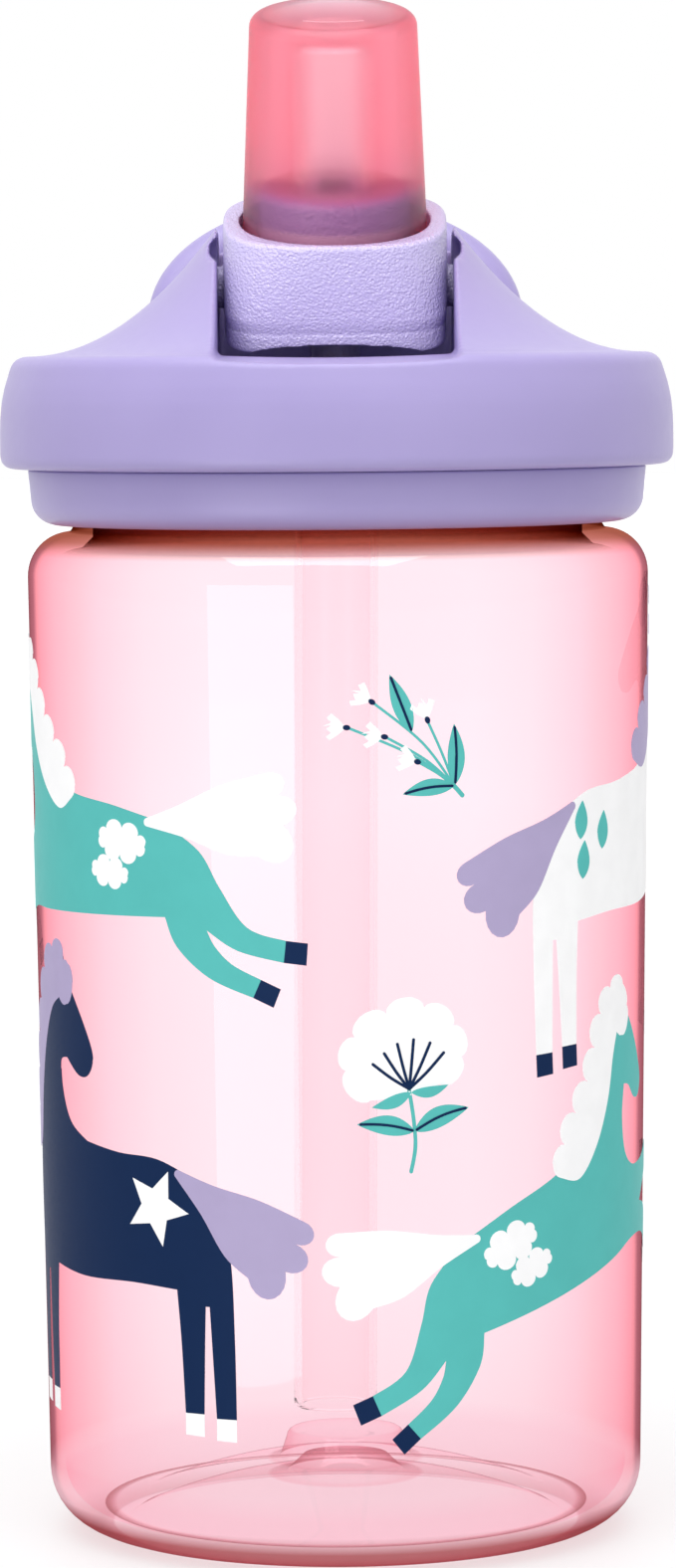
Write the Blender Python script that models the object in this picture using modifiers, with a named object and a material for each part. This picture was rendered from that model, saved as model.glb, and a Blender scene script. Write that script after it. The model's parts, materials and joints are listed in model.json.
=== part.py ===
"""Child's water bottle with a screw lid and a flip-up bite valve.

The origin is the centre of the base on the table, +Z is up and the front, towards
which the spout folds, is -Y. The spout stands open, leaning a little forward.
"""

import math

import bmesh
import bpy
from mathutils import Matrix, Vector

MM = 0.001
TURN = 2 * math.pi
GAP = 0.3 * MM
SEGMENTS = 40
FINE_SEGMENTS = 28
CUT_MARGIN = 4 * MM

# Bottle body
BODY_TOP_RADIUS = 36.5 * MM
BODY_FOOT_RADIUS = 35.4 * MM
BODY_WALL = 1.8 * MM
FOOT_CORNER = 7.0 * MM
FOOT_RING_INNER = 26.2 * MM
FLOOR_THICKNESS = 2.2 * MM
DOME_RADIUS = 26.0 * MM
DOME_RISE = 5.8 * MM
NUB_RADIUS = 7.0 * MM
NUB_TOP = 10.8 * MM
SHOULDER_Z = 112.6 * MM
SHOULDER_RISE = 5.2 * MM
SHOULDER_REACH = 5.0 * MM
NECK_RADIUS = 31.0 * MM
NECK_BORE = 28.8 * MM
NECK_TOP = 131.0 * MM
LIP_ROUNDING = 0.5 * MM

# Screw thread, rounded in section and the same on the neck and in the lid
THREAD_PITCH = 4.0 * MM
THREAD_TURNS = 1.5
THREAD_WIRE = 1.0 * MM
THREAD_POINTS_PER_TURN = 32
NECK_THREAD_RADIUS = 31.2 * MM
NECK_THREAD_BOTTOM = 122.0 * MM
LID_THREAD_RADIUS = 32.6 * MM
LID_THREAD_BOTTOM = NECK_THREAD_BOTTOM - THREAD_PITCH / 2

# Lid collar, the threaded inner cap
COLLAR_BOTTOM = 118.7 * MM
COLLAR_RADIUS = 36.3 * MM
COLLAR_LOW_RADIUS = 36.0 * MM
COLLAR_ROUNDING = 3.0 * MM
COLLAR_LEDGE_Z = 125.0 * MM
COLLAR_PLUG_RADIUS = 34.6 * MM
COLLAR_BORE = 32.8 * MM
GASKET_INNER = 28.6 * MM
GASKET_OUTER = COLLAR_BORE - GAP
GASKET_BOTTOM = NECK_TOP + GAP
GASKET_THICKNESS = 1.3 * MM
DECK_BOTTOM = GASKET_BOTTOM + GASKET_THICKNESS + GAP
DECK_TOP = DECK_BOTTOM + 1.3 * MM

# Lid shell: ring, bell, channel for the spout, and carry loop
RING_BOTTOM = COLLAR_LEDGE_Z + GAP
RING_BORE = COLLAR_PLUG_RADIUS + 0.4 * MM
RING_RADIUS = 39.55 * MM
RING_LOW_RADIUS = 38.4 * MM
RING_WIDEST_Z = 129.6 * MM
RING_TOP_RADIUS = 38.3 * MM
RING_ROUNDING = 1.5 * MM
RIM_Z = 138.4 * MM
BELL_FOOT = 36.0
BELL_RISE = 0.0306
BELL_POWER = 2.0
BELL_CROWN_RADIUS = 13.1 * MM
BELL_WALL = 2.2 * MM
SHELL_BOTTOM = DECK_TOP + GAP
CHANNEL_HALF_WIDTH = 13.7 * MM
CHANNEL_WALL = 1.8 * MM
POCKET_FLOOR = 135.5 * MM
POCKET_FRONT = -13.5 * MM
POCKET_BACK = 8.5 * MM
SCOOP_DEPTH = 1.4 * MM
NOTCH_DEPTH = 0.95 * MM
NOTCH_BOTTOM = 149.4 * MM
NOTCH_HEIGHT = 2.5 * MM
LOOP_BAR = 2.8 * MM
LOOP_HALF_WIDTH = 20.2 * MM
LOOP_RISE = 12.0 * MM
LOOP_SPRING_Z = 142.6 * MM
LOOP_FOOT_Z = 137.2 * MM
LOOP_FOOT_Y = 27.0 * MM
LOOP_LEAN = 0.36

# Spout: all heights are along its own axis from the hinge
HINGE = Vector((0, -3.0 * MM, 146.3 * MM))
SPOUT_LEAN = math.radians(20)
ARM_HALF_WIDTH = 12.75 * MM
ARM_HALF_DEPTH = 10.2 * MM
ARM_SQUARENESS = 2.8
ARM_EDGE = -2.4 * MM
ARM_BOTTOM = -4.2 * MM
ARM_LIP = 8.3 * MM
SKIRT_INSET = 0.9 * MM
SKIRT_OVERLAP = 0.5 * MM
ARCH_HALF_WIDTH = 9.8 * MM
ARCH_RISE = 0.7 * MM
CUP_HALF_WIDTH = 11.15 * MM
CUP_HALF_DEPTH = 9.3 * MM
CUP_SQUARENESS = 2.2
CUP_FLOOR = 3.8 * MM
WEB_BOTTOM = 2.0 * MM
UNDERCUT_HALF_WIDTH = 10.9 * MM
UNDERCUT_HALF_DEPTH = 8.8 * MM
REAR_WALL_START = 4.0 * MM
REAR_WALL_BOTTOM = 1.0 * MM
PLUG_HALF_WIDTH = 8.7 * MM
PLUG_HALF_DEPTH = 6.8 * MM
PLUG_TOP = 12.6 * MM
DRUM_RADIUS = 7.0 * MM
DRUM_HALF_LENGTH = 8.0 * MM
HUB_RADIUS = 5.0 * MM
HUB_HALF_LENGTH = 12.4 * MM
TRUNNION_RADIUS = 2.45 * MM
TRUNNION_HALF_LENGTH = 15.3 * MM
TRUNNION_HOLE = 2.6 * MM
SPOUT_BORE = 2.2 * MM
PORT_TURN = math.radians(36)

# Bite valve, on the spout's axis
VALVE_BOTTOM = CUP_FLOOR + GAP
VALVE_TOP = 33.0 * MM
VALVE_BASE_HALF_WIDTH = 10.85 * MM
VALVE_BASE_HALF_DEPTH = 9.0 * MM
VALVE_TOP_HALF_WIDTH = 9.65 * MM
VALVE_TOP_HALF_DEPTH = 8.0 * MM
VALVE_ROUNDING = 0.8 * MM
VALVE_SOCKET_TOP = PLUG_TOP + 0.4 * MM
VALVE_CHANNEL_HALF_WIDTH = 4.3 * MM
VALVE_CHANNEL_HALF_DEPTH = 2.8 * MM
VALVE_CHANNEL_TOP = 30.0 * MM
SLIT_LENGTH = 7.0 * MM
SLIT_WIDTH = 0.5 * MM

# Port, seal, nipple and straw, on one upright axis a little behind the middle
PORT_Y = 2.8 * MM
PORT_BORE = 2.0 * MM
PORT_RADIUS = 2.9 * MM
PORT_TOP = 137.7 * MM
PORT_CLEARANCE_HOLE = 3.8 * MM
SEAL_RADIUS = 2.9 * MM
SEAL_TOP = 143.5 * MM
NIPPLE_RADIUS = 3.75 * MM
NIPPLE_BOTTOM = 121.0 * MM
STRAW_RADIUS = 4.95 * MM
STRAW_BORE = 4.05 * MM
STRAW_BOTTOM = 13.0 * MM
STRAW_TOP = DECK_BOTTOM - 0.5 * MM

# Air vent in the deck
VENT = Vector((18.5 * MM, 10.0 * MM, 0))
VENT_HOLE = 1.5 * MM
VENT_STEM = 1.1 * MM
VENT_CAP = 4.2 * MM
VENT_CAP_THICKNESS = 0.7 * MM
VENT_KNOB = 1.9 * MM
VENT_KNOB_HEIGHT = 1.6 * MM

PARTS = "kids_water_bottle"
CUTTERS = "cutters"


def clear_scene():
    for obj in list(bpy.data.objects):
        bpy.data.objects.remove(obj, do_unlink=True)
    for name in (PARTS, CUTTERS):
        bpy.context.scene.collection.children.link(bpy.data.collections.new(name))


def material(name, colour, roughness, transmission=0.0):
    made = bpy.data.materials.new(name)
    made.use_nodes = True
    made.diffuse_color = (*colour, 1 - 0.6 * transmission)
    shader = made.node_tree.nodes["Principled BSDF"]
    shader.inputs["Base Color"].default_value = (*colour, 1)
    shader.inputs["Roughness"].default_value = roughness
    shader.inputs["Metallic"].default_value = 0
    shader.inputs["Transmission Weight"].default_value = transmission
    return made


def add_object(name, mesh, collection=PARTS, parent=None):
    obj = bpy.data.objects.new(name, mesh)
    bpy.data.collections[collection].objects.link(obj)
    obj.parent = parent
    if collection == CUTTERS:
        obj.hide_render = True
        obj.display_type = "WIRE"
    return obj


def finish_part(obj, look):
    obj.data.materials.append(look)
    obj.data.shade_smooth()
    obj.data.set_sharp_from_angle(angle=math.radians(35))
    return obj


def mesh_from(name, build):
    """A mesh filled by build(bm), with its normals facing out."""
    mesh = bpy.data.meshes.new(name)
    bm = bmesh.new()
    build(bm)
    bmesh.ops.recalc_face_normals(bm, faces=bm.faces)
    bm.to_mesh(mesh)
    bm.free()
    return mesh


def turned(name, profile, collection=PARTS, segments=SEGMENTS, ring=False, parent=None):
    """A shape turned about Z. The (radius, height) profile runs down its outer side."""
    mesh = bpy.data.meshes.new(name)
    ends = len(profile) if ring else len(profile) - 1
    edges = [(i, (i + 1) % len(profile)) for i in range(ends)]
    mesh.from_pydata([(radius, 0, height) for radius, height in profile], edges, [])
    obj = add_object(name, mesh, collection, parent)
    screw = obj.modifiers.new("turn", "SCREW")
    screw.axis = "Z"
    screw.steps = segments
    screw.render_steps = segments
    screw.use_merge_vertices = True
    screw.merge_threshold = 1e-6
    return obj


def arc(centre, radii, start_deg, end_deg, steps):
    """Points from start to end on an ellipse about centre, in (radius, height)."""
    points = []
    for i in range(steps + 1):
        angle = math.radians(start_deg + (end_deg - start_deg) * i / steps)
        points.append(
            (centre[0] + radii[0] * math.cos(angle), centre[1] + radii[1] * math.sin(angle))
        )
    return points


def cylinder(name, radius, start, end, collection=CUTTERS, segments=FINE_SEGMENTS, parent=None):
    """A cylinder between two points."""
    start, end = Vector(start), Vector(end)
    along = end - start
    place = Matrix.Translation((start + end) / 2) @ along.to_track_quat("Z", "Y").to_matrix().to_4x4()

    def build(bm):
        bmesh.ops.create_cone(
            bm, cap_ends=True, segments=segments, radius1=radius, radius2=radius,
            depth=along.length, matrix=place,
        )

    return add_object(name, mesh_from(name, build), collection, parent)


def box(name, low, high, collection=CUTTERS, parent=None):
    low, high = Vector(low), Vector(high)
    place = Matrix.Translation((low + high) / 2) @ Matrix.Diagonal((*(high - low), 1))

    def build(bm):
        bmesh.ops.create_cube(bm, size=1, matrix=place)

    return add_object(name, mesh_from(name, build), collection, parent)


def oval(name, halves_low, halves_high, low, high, squareness=2.0, collection=CUTTERS,
         segments=SEGMENTS, parent=None):
    """An upright oval prism, which may taper."""

    def build(bm):
        bmesh.ops.create_cone(
            bm, cap_ends=True, segments=segments, radius1=1, radius2=1, depth=2
        )
        for vert in bm.verts:
            halves = halves_high if vert.co.z > 0 else halves_low
            for axis in (0, 1):
                side = vert.co[axis]
                vert.co[axis] = math.copysign(abs(side) ** (2 / squareness), side) * halves[axis]
            vert.co.z = high if vert.co.z > 0 else low

    return add_object(name, mesh_from(name, build), collection, parent)


def tube_mesh(name, points, radius, resolution, parent=None):
    """A round bar through the points, as a closed mesh among the cutters."""
    curve = bpy.data.curves.new(name + "_path", "CURVE")
    curve.dimensions = "3D"
    curve.bevel_depth = radius
    curve.bevel_resolution = resolution
    curve.use_fill_caps = True
    spline = curve.splines.new("POLY")
    spline.points.add(len(points) - 1)
    for point, place in zip(spline.points, points):
        point.co = (*place, 1)
    path = add_object(name + "_path", curve, CUTTERS)
    bpy.context.view_layer.update()
    graph = bpy.context.evaluated_depsgraph_get()
    mesh = bpy.data.meshes.new_from_object(path.evaluated_get(graph))
    bm = bmesh.new()
    bm.from_mesh(mesh)
    bmesh.ops.remove_doubles(bm, verts=bm.verts, dist=1e-6)
    bmesh.ops.recalc_face_normals(bm, faces=bm.faces)
    bm.to_mesh(mesh)
    bm.free()
    obj = add_object(name, mesh, CUTTERS, parent)
    obj.matrix_world = path.matrix_world
    bpy.data.objects.remove(path, do_unlink=True)
    return obj


def combine(target, other, operation):
    boolean = target.modifiers.new(other.name, "BOOLEAN")
    boolean.object = other
    boolean.operation = operation
    boolean.solver = "EXACT"


def cut(target, *cutters):
    for cutter in cutters:
        combine(target, cutter, "DIFFERENCE")


def join(target, *pieces):
    for piece in pieces:
        combine(target, piece, "UNION")


def thread(name, radius, bottom):
    """A helical ridge, right-handed."""
    count = round(THREAD_POINTS_PER_TURN * THREAD_TURNS)
    points = []
    for i in range(count + 1):
        angle = TURN * THREAD_TURNS * i / count
        height = bottom + THREAD_PITCH * THREAD_TURNS * i / count
        points.append((radius * math.cos(angle), radius * math.sin(angle), height))
    return tube_mesh(name, points, THREAD_WIRE, 1)


def dome_height(radius):
    """Height of the bottle's inner floor, which is pushed up in the middle."""
    return FLOOR_THICKNESS + DOME_RISE * max(0.0, 1 - (radius / DOME_RADIUS) ** 2)


def bell_height(radius):
    """Height of the lid's bell at a radius, both in metres."""
    inward = BELL_FOOT - radius / MM
    return RIM_Z + BELL_RISE * max(0.0, inward) ** BELL_POWER * MM


def build_body(look):
    inner_corner = FOOT_CORNER - BODY_WALL
    inner_foot = BODY_FOOT_RADIUS - BODY_WALL
    dome = [radius * MM for radius in (8, 13, 18, 23)]
    floor = [(0, NUB_TOP), (NUB_RADIUS - 1 * MM, NUB_TOP), (NUB_RADIUS, NUB_TOP - 1 * MM)]
    floor += [(radius, dome_height(radius)) for radius in dome]
    inside = arc(
        (inner_foot - inner_corner, FLOOR_THICKNESS + inner_corner),
        (inner_corner, inner_corner), -90, 0, 4,
    )
    inner_shoulder = arc(
        (NECK_BORE + 1.4 * MM, SHOULDER_Z - 1 * MM),
        (BODY_TOP_RADIUS - BODY_WALL - NECK_BORE - 1.4 * MM, SHOULDER_RISE - 1 * MM), 0, 90, 4,
    )
    lip = [
        (NECK_BORE, SHOULDER_Z + SHOULDER_RISE - 1 * MM),
        (NECK_BORE, NECK_TOP - LIP_ROUNDING),
        (NECK_BORE + LIP_ROUNDING, NECK_TOP),
        (NECK_RADIUS - LIP_ROUNDING, NECK_TOP),
        (NECK_RADIUS, NECK_TOP - LIP_ROUNDING),
        (NECK_RADIUS, SHOULDER_Z + SHOULDER_RISE + 0.5 * MM),
    ]
    shoulder = arc(
        (BODY_TOP_RADIUS - SHOULDER_REACH, SHOULDER_Z),
        (SHOULDER_REACH, SHOULDER_RISE), 90, 0, 5,
    )
    outside = arc(
        (BODY_FOOT_RADIUS - FOOT_CORNER, FOOT_CORNER), (FOOT_CORNER, FOOT_CORNER), 0, -90, 5
    )
    underside = [(FOOT_RING_INNER, 0), (FOOT_RING_INNER - 0.8 * MM, 0.6 * MM)]
    underside += [(radius, dome_height(radius) - FLOOR_THICKNESS + 0.3 * MM) for radius in dome[::-1]]
    underside += [(0, NUB_TOP - 4 * MM)]
    profile = floor + inside + inner_shoulder + lip + shoulder + outside + underside
    body = turned("bottle_body", profile)
    join(body, thread("neck_thread", NECK_THREAD_RADIUS, NECK_THREAD_BOTTOM))
    return finish_part(body, look)


def build_collar(look):
    rounding = arc(
        (COLLAR_LOW_RADIUS - COLLAR_ROUNDING, COLLAR_BOTTOM + COLLAR_ROUNDING),
        (COLLAR_ROUNDING, COLLAR_ROUNDING), 0, -90, 4,
    )
    profile = [
        (0, DECK_TOP),
        (COLLAR_PLUG_RADIUS - LIP_ROUNDING, DECK_TOP),
        (COLLAR_PLUG_RADIUS, DECK_TOP - LIP_ROUNDING),
        (COLLAR_PLUG_RADIUS, COLLAR_LEDGE_Z),
        (COLLAR_RADIUS, COLLAR_LEDGE_Z),
        *rounding,
        (COLLAR_BORE, COLLAR_BOTTOM + 0.2 * MM),
        (COLLAR_BORE, DECK_BOTTOM),
        (0, DECK_BOTTOM),
    ]
    collar = turned("lid_collar", profile)
    middle = (DECK_TOP + DECK_BOTTOM) / 2
    join(
        collar,
        thread("lid_thread", LID_THREAD_RADIUS, LID_THREAD_BOTTOM),
        cylinder("straw_nipple", NIPPLE_RADIUS, (0, PORT_Y, NIPPLE_BOTTOM), (0, PORT_Y, middle)),
        cylinder("port_boss", PORT_RADIUS, (0, PORT_Y, middle), (0, PORT_Y, PORT_TOP)),
    )
    below = (VENT.x, VENT.y, DECK_BOTTOM - CUT_MARGIN)
    above = (VENT.x, VENT.y, DECK_TOP + CUT_MARGIN)
    cut(
        collar,
        cylinder(
            "port_bore", PORT_BORE,
            (0, PORT_Y, NIPPLE_BOTTOM - CUT_MARGIN), (0, PORT_Y, PORT_TOP + CUT_MARGIN),
        ),
        cylinder("vent_hole", VENT_HOLE, below, above, segments=16),
    )
    return finish_part(collar, look)


def bell_profile(offset, crown_radius, foot_radius, steps):
    """Points down the bell's concave side, lowered by an offset."""
    points = []
    for i in range(steps + 1):
        radius = crown_radius + (foot_radius - crown_radius) * i / steps
        points.append((radius, bell_height(radius) - offset))
    return points


def scoop_outline():
    """Cross-section of the resting place for the folded valve: a shallow arc, open above."""
    radius = (CHANNEL_HALF_WIDTH ** 2 + SCOOP_DEPTH ** 2) / (2 * SCOOP_DEPTH)
    steps = 10
    points = []
    for i in range(steps + 1):
        x = CHANNEL_HALF_WIDTH * (2 * i / steps - 1)
        sag = radius - math.sqrt(radius ** 2 - x ** 2)
        points.append((x, RIM_Z - SCOOP_DEPTH + sag))
    top = bell_height(BELL_CROWN_RADIUS) + CUT_MARGIN
    return points + [(CHANNEL_HALF_WIDTH, top), (-CHANNEL_HALF_WIDTH, top)]


def outline_cutter(name, outline, front, back):
    """An (x, z) outline carried along Y from front to back."""
    curve = bpy.data.curves.new(name + "_outline", "CURVE")
    curve.dimensions = "2D"
    curve.fill_mode = "BOTH"
    curve.extrude = (back - front) / 2
    spline = curve.splines.new("POLY")
    spline.points.add(len(outline) - 1)
    for point, (x, z) in zip(spline.points, outline):
        point.co = (x, z, 0, 1)
    spline.use_cyclic_u = True
    flat = add_object(name + "_outline", curve, CUTTERS)
    bpy.context.view_layer.update()
    graph = bpy.context.evaluated_depsgraph_get()
    mesh = bpy.data.meshes.new_from_object(flat.evaluated_get(graph))
    bm = bmesh.new()
    bm.from_mesh(mesh)
    bmesh.ops.remove_doubles(bm, verts=bm.verts, dist=1e-6)
    upright = Matrix.Translation((0, (front + back) / 2, 0)) @ Matrix.Rotation(math.pi / 2, 4, "X")
    bmesh.ops.transform(bm, matrix=upright, verts=bm.verts)
    bmesh.ops.recalc_face_normals(bm, faces=bm.faces)
    bm.to_mesh(mesh)
    bm.free()
    bpy.data.objects.remove(flat, do_unlink=True)
    return add_object(name, mesh, CUTTERS)


def loop_points():
    """Centre line of the carry loop, which leans back as it rises."""
    arch = arc((0, LOOP_SPRING_Z), (LOOP_HALF_WIDTH, LOOP_RISE), 0, 180, 14)
    line = [(LOOP_HALF_WIDTH, LOOP_FOOT_Z), *arch, (-LOOP_HALF_WIDTH, LOOP_FOOT_Z)]
    return [(x, LOOP_FOOT_Y + (z - RIM_Z) * LOOP_LEAN, z) for x, z in line]


def build_shell(look):
    crown = bell_height(BELL_CROWN_RADIUS)
    top_corner = arc(
        (RING_TOP_RADIUS - RING_ROUNDING, RIM_Z - RING_ROUNDING),
        (RING_ROUNDING, RING_ROUNDING), 90, 10, 3,
    )
    barrel = [
        (RING_RADIUS - 0.35 * MM, RIM_Z - 4.5 * MM),
        (RING_RADIUS, RING_WIDEST_Z + 1.8 * MM),
        (RING_RADIUS, RING_WIDEST_Z - 1.8 * MM),
        (RING_RADIUS - 0.3 * MM, RING_BOTTOM + 0.8 * MM),
        (RING_LOW_RADIUS, RING_BOTTOM),
    ]
    profile = [
        (0, crown),
        *bell_profile(0, BELL_CROWN_RADIUS, BELL_FOOT * MM, 9),
        *top_corner,
        *barrel,
        (RING_BORE, RING_BOTTOM),
        (RING_BORE, SHELL_BOTTOM),
        (0, SHELL_BOTTOM),
    ]
    shell = turned("lid_shell", profile)
    hollow_radius = RING_BORE - 2 * MM
    hollow = turned(
        "bell_hollow",
        [
            (0, crown - BELL_WALL),
            *bell_profile(BELL_WALL, BELL_CROWN_RADIUS, hollow_radius, 6),
            (hollow_radius, SHELL_BOTTOM - CUT_MARGIN),
            (0, SHELL_BOTTOM - CUT_MARGIN),
        ],
        CUTTERS,
    )
    side = CHANNEL_HALF_WIDTH + CHANNEL_WALL
    cut(
        hollow,
        box(
            "channel_block",
            (-side, -RING_RADIUS - CUT_MARGIN, SHELL_BOTTOM - 2 * CUT_MARGIN),
            (side, POCKET_BACK + CHANNEL_WALL, crown + CUT_MARGIN),
        ),
    )
    join(shell, tube_mesh("carry_loop", loop_points(), LOOP_BAR, 2))
    notch_start = CHANNEL_HALF_WIDTH - 1 * MM
    cut(
        shell,
        hollow,
        outline_cutter("scoop", scoop_outline(), -RING_RADIUS - CUT_MARGIN, POCKET_FRONT + 1 * MM),
        box(
            "pocket",
            (-CHANNEL_HALF_WIDTH, POCKET_FRONT, POCKET_FLOOR),
            (CHANNEL_HALF_WIDTH, POCKET_BACK, crown + CUT_MARGIN),
        ),
        cylinder(
            "trunnion_holes", TRUNNION_HOLE,
            (-side - 1 * MM, HINGE.y, HINGE.z), (side + 1 * MM, HINGE.y, HINGE.z),
        ),
        cylinder(
            "port_clearance", PORT_CLEARANCE_HOLE,
            (0, PORT_Y, SHELL_BOTTOM - CUT_MARGIN), (0, PORT_Y, POCKET_FLOOR + CUT_MARGIN),
        ),
    )
    for sign, name in ((-1, "notch_left"), (1, "notch_right")):
        across = sorted((sign * notch_start, sign * (CHANNEL_HALF_WIDTH + NOTCH_DEPTH)))
        cut(
            shell,
            box(
                name,
                (across[0], -RING_RADIUS, NOTCH_BOTTOM),
                (across[1], HINGE.y + TRUNNION_RADIUS, NOTCH_BOTTOM + NOTCH_HEIGHT),
            ),
        )
    return finish_part(shell, look)


def build_gasket(look):
    low, high = GASKET_BOTTOM, GASKET_BOTTOM + GASKET_THICKNESS
    profile = [(GASKET_OUTER, high), (GASKET_OUTER, low), (GASKET_INNER, low), (GASKET_INNER, high)]
    return finish_part(turned("lid_gasket", profile, ring=True), look)


def build_straw(look):
    profile = [
        (STRAW_RADIUS, STRAW_TOP), (STRAW_RADIUS, STRAW_BOTTOM),
        (STRAW_BORE, STRAW_BOTTOM), (STRAW_BORE, STRAW_TOP),
    ]
    straw = turned("straw", profile, segments=24, ring=True)
    straw.location = (0, PORT_Y, 0)
    return finish_part(straw, look)


def build_vent(look):
    under = DECK_BOTTOM - GAP
    over = DECK_TOP + GAP
    profile = [
        (0, over + VENT_KNOB_HEIGHT),
        (VENT_STEM, over + VENT_KNOB_HEIGHT),
        (VENT_KNOB, over + 0.4 * MM),
        (VENT_KNOB, over),
        (VENT_STEM, over),
        (VENT_STEM, under),
        (VENT_CAP, under),
        (VENT_CAP, under - 0.3 * MM),
        (VENT_STEM, under - VENT_CAP_THICKNESS),
        (0, under - VENT_CAP_THICKNESS),
    ]
    vent = turned("vent_valve", profile, segments=16)
    vent.location = VENT
    return finish_part(vent, look)


def build_seal(look):
    low = PORT_TOP + GAP
    profile = [
        (SEAL_RADIUS, SEAL_TOP), (SEAL_RADIUS, low), (PORT_BORE, low), (PORT_BORE, SEAL_TOP),
    ]
    seal = turned("spout_seal", profile, segments=24, ring=True)
    seal.location = (0, PORT_Y, 0)
    reach = DRUM_HALF_LENGTH + CUT_MARGIN
    cut(
        seal,
        cylinder(
            "seal_seat", DRUM_RADIUS + GAP,
            (-reach, HINGE.y, HINGE.z), (reach, HINGE.y, HINGE.z), segments=SEGMENTS,
        ),
    )
    return finish_part(seal, look)


def build_arm(look, hinge):
    """The holder: oval cup on top, drum and trunnions on the hinge line, plug in the cup."""
    half = (ARM_HALF_WIDTH, ARM_HALF_DEPTH)
    arm = oval("spout_arm", half, half, ARM_EDGE, ARM_LIP, ARM_SQUARENESS, PARTS, parent=hinge)
    skirt_low, skirt_high = ([side - inset for side in half] for inset in (SKIRT_INSET, 0.05 * MM))
    skirt_top = ARM_EDGE + SKIRT_OVERLAP
    join(arm, oval("skirt", skirt_low, skirt_high, ARM_BOTTOM, skirt_top, ARM_SQUARENESS, parent=hinge))
    above = VALVE_TOP + CUT_MARGIN
    below = ARM_BOTTOM - CUT_MARGIN
    cup = (CUP_HALF_WIDTH, CUP_HALF_DEPTH)
    undercut = (UNDERCUT_HALF_WIDTH, UNDERCUT_HALF_DEPTH)
    cut(
        arm,
        oval("undercut", undercut, undercut, below, WEB_BOTTOM, ARM_SQUARENESS, parent=hinge),
        box(
            "rear_relief",
            (-ARM_HALF_WIDTH - CUT_MARGIN, REAR_WALL_START, below),
            (ARM_HALF_WIDTH + CUT_MARGIN, ARM_HALF_DEPTH + CUT_MARGIN, REAR_WALL_BOTTOM),
            parent=hinge,
        ),
    )
    arch = cylinder(
        "arch", 1.0,
        (0, -ARM_HALF_DEPTH - CUT_MARGIN, 0), (0, -UNDERCUT_HALF_DEPTH / 2, 0), parent=hinge,
    )
    for vert in arch.data.vertices:
        vert.co.x *= ARCH_HALF_WIDTH
        vert.co.z = vert.co.z * ARCH_RISE + ARM_BOTTOM
    cut(arm, arch)
    join(
        arm,
        cylinder("drum", DRUM_RADIUS, (-DRUM_HALF_LENGTH, 0, 0), (DRUM_HALF_LENGTH, 0, 0),
                 segments=SEGMENTS, parent=hinge),
        cylinder("hub", HUB_RADIUS, (-HUB_HALF_LENGTH, 0, 0), (HUB_HALF_LENGTH, 0, 0), parent=hinge),
        cylinder("trunnions", TRUNNION_RADIUS, (-TRUNNION_HALF_LENGTH, 0, 0),
                 (TRUNNION_HALF_LENGTH, 0, 0), parent=hinge),
    )
    cut(arm, oval("cup", cup, cup, CUP_FLOOR, above, CUP_SQUARENESS, parent=hinge))
    plug = (PLUG_HALF_WIDTH, PLUG_HALF_DEPTH)
    plug_top = (PLUG_HALF_WIDTH - 0.3 * MM, PLUG_HALF_DEPTH - 0.3 * MM)
    join(arm, oval("plug", plug, plug_top, WEB_BOTTOM + 0.5 * MM, PLUG_TOP, parent=hinge))
    port_end = DRUM_RADIUS + CUT_MARGIN
    cut(
        arm,
        cylinder("spout_bore", SPOUT_BORE, (0, 0, 0), (0, 0, PLUG_TOP + CUT_MARGIN), parent=hinge),
        cylinder("drum_port", SPOUT_BORE - 0.1 * MM, (0, 0, 0.4 * MM),
                 (0, port_end * math.sin(PORT_TURN), -port_end * math.cos(PORT_TURN)), parent=hinge),
    )
    return finish_part(arm, look)


def build_valve(look, hinge):
    valve = oval(
        "bite_valve",
        (VALVE_BASE_HALF_WIDTH, VALVE_BASE_HALF_DEPTH),
        (VALVE_TOP_HALF_WIDTH, VALVE_TOP_HALF_DEPTH),
        VALVE_BOTTOM, VALVE_TOP, collection=PARTS, parent=hinge,
    )
    rounding = valve.modifiers.new("rounding", "BEVEL")
    rounding.width = VALVE_ROUNDING
    rounding.segments = 2
    rounding.limit_method = "ANGLE"
    rounding.angle_limit = math.radians(60)
    socket = (PLUG_HALF_WIDTH + GAP, PLUG_HALF_DEPTH + GAP)
    channel = (VALVE_CHANNEL_HALF_WIDTH, VALVE_CHANNEL_HALF_DEPTH)
    cut(
        valve,
        oval("socket", socket, socket, VALVE_BOTTOM - CUT_MARGIN, VALVE_SOCKET_TOP, parent=hinge),
        oval("channel", channel, channel, VALVE_SOCKET_TOP - 1 * MM, VALVE_CHANNEL_TOP,
             segments=FINE_SEGMENTS, parent=hinge),
        box(
            "slit",
            (-SLIT_LENGTH / 2, -SLIT_WIDTH / 2, VALVE_CHANNEL_TOP - 1 * MM),
            (SLIT_LENGTH / 2, SLIT_WIDTH / 2, VALVE_TOP + CUT_MARGIN),
            parent=hinge,
        ),
    )
    return finish_part(valve, look)


def hinge_frame():
    """Empty on the hinge line, tilted so that its Z is the open spout's axis."""
    empty = bpy.data.objects.new("spout_hinge", None)
    empty.location = HINGE
    empty.rotation_euler = (SPOUT_LEAN, 0, 0)
    empty.empty_display_size = 10 * MM
    bpy.data.collections[PARTS].objects.link(empty)
    return empty


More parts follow.
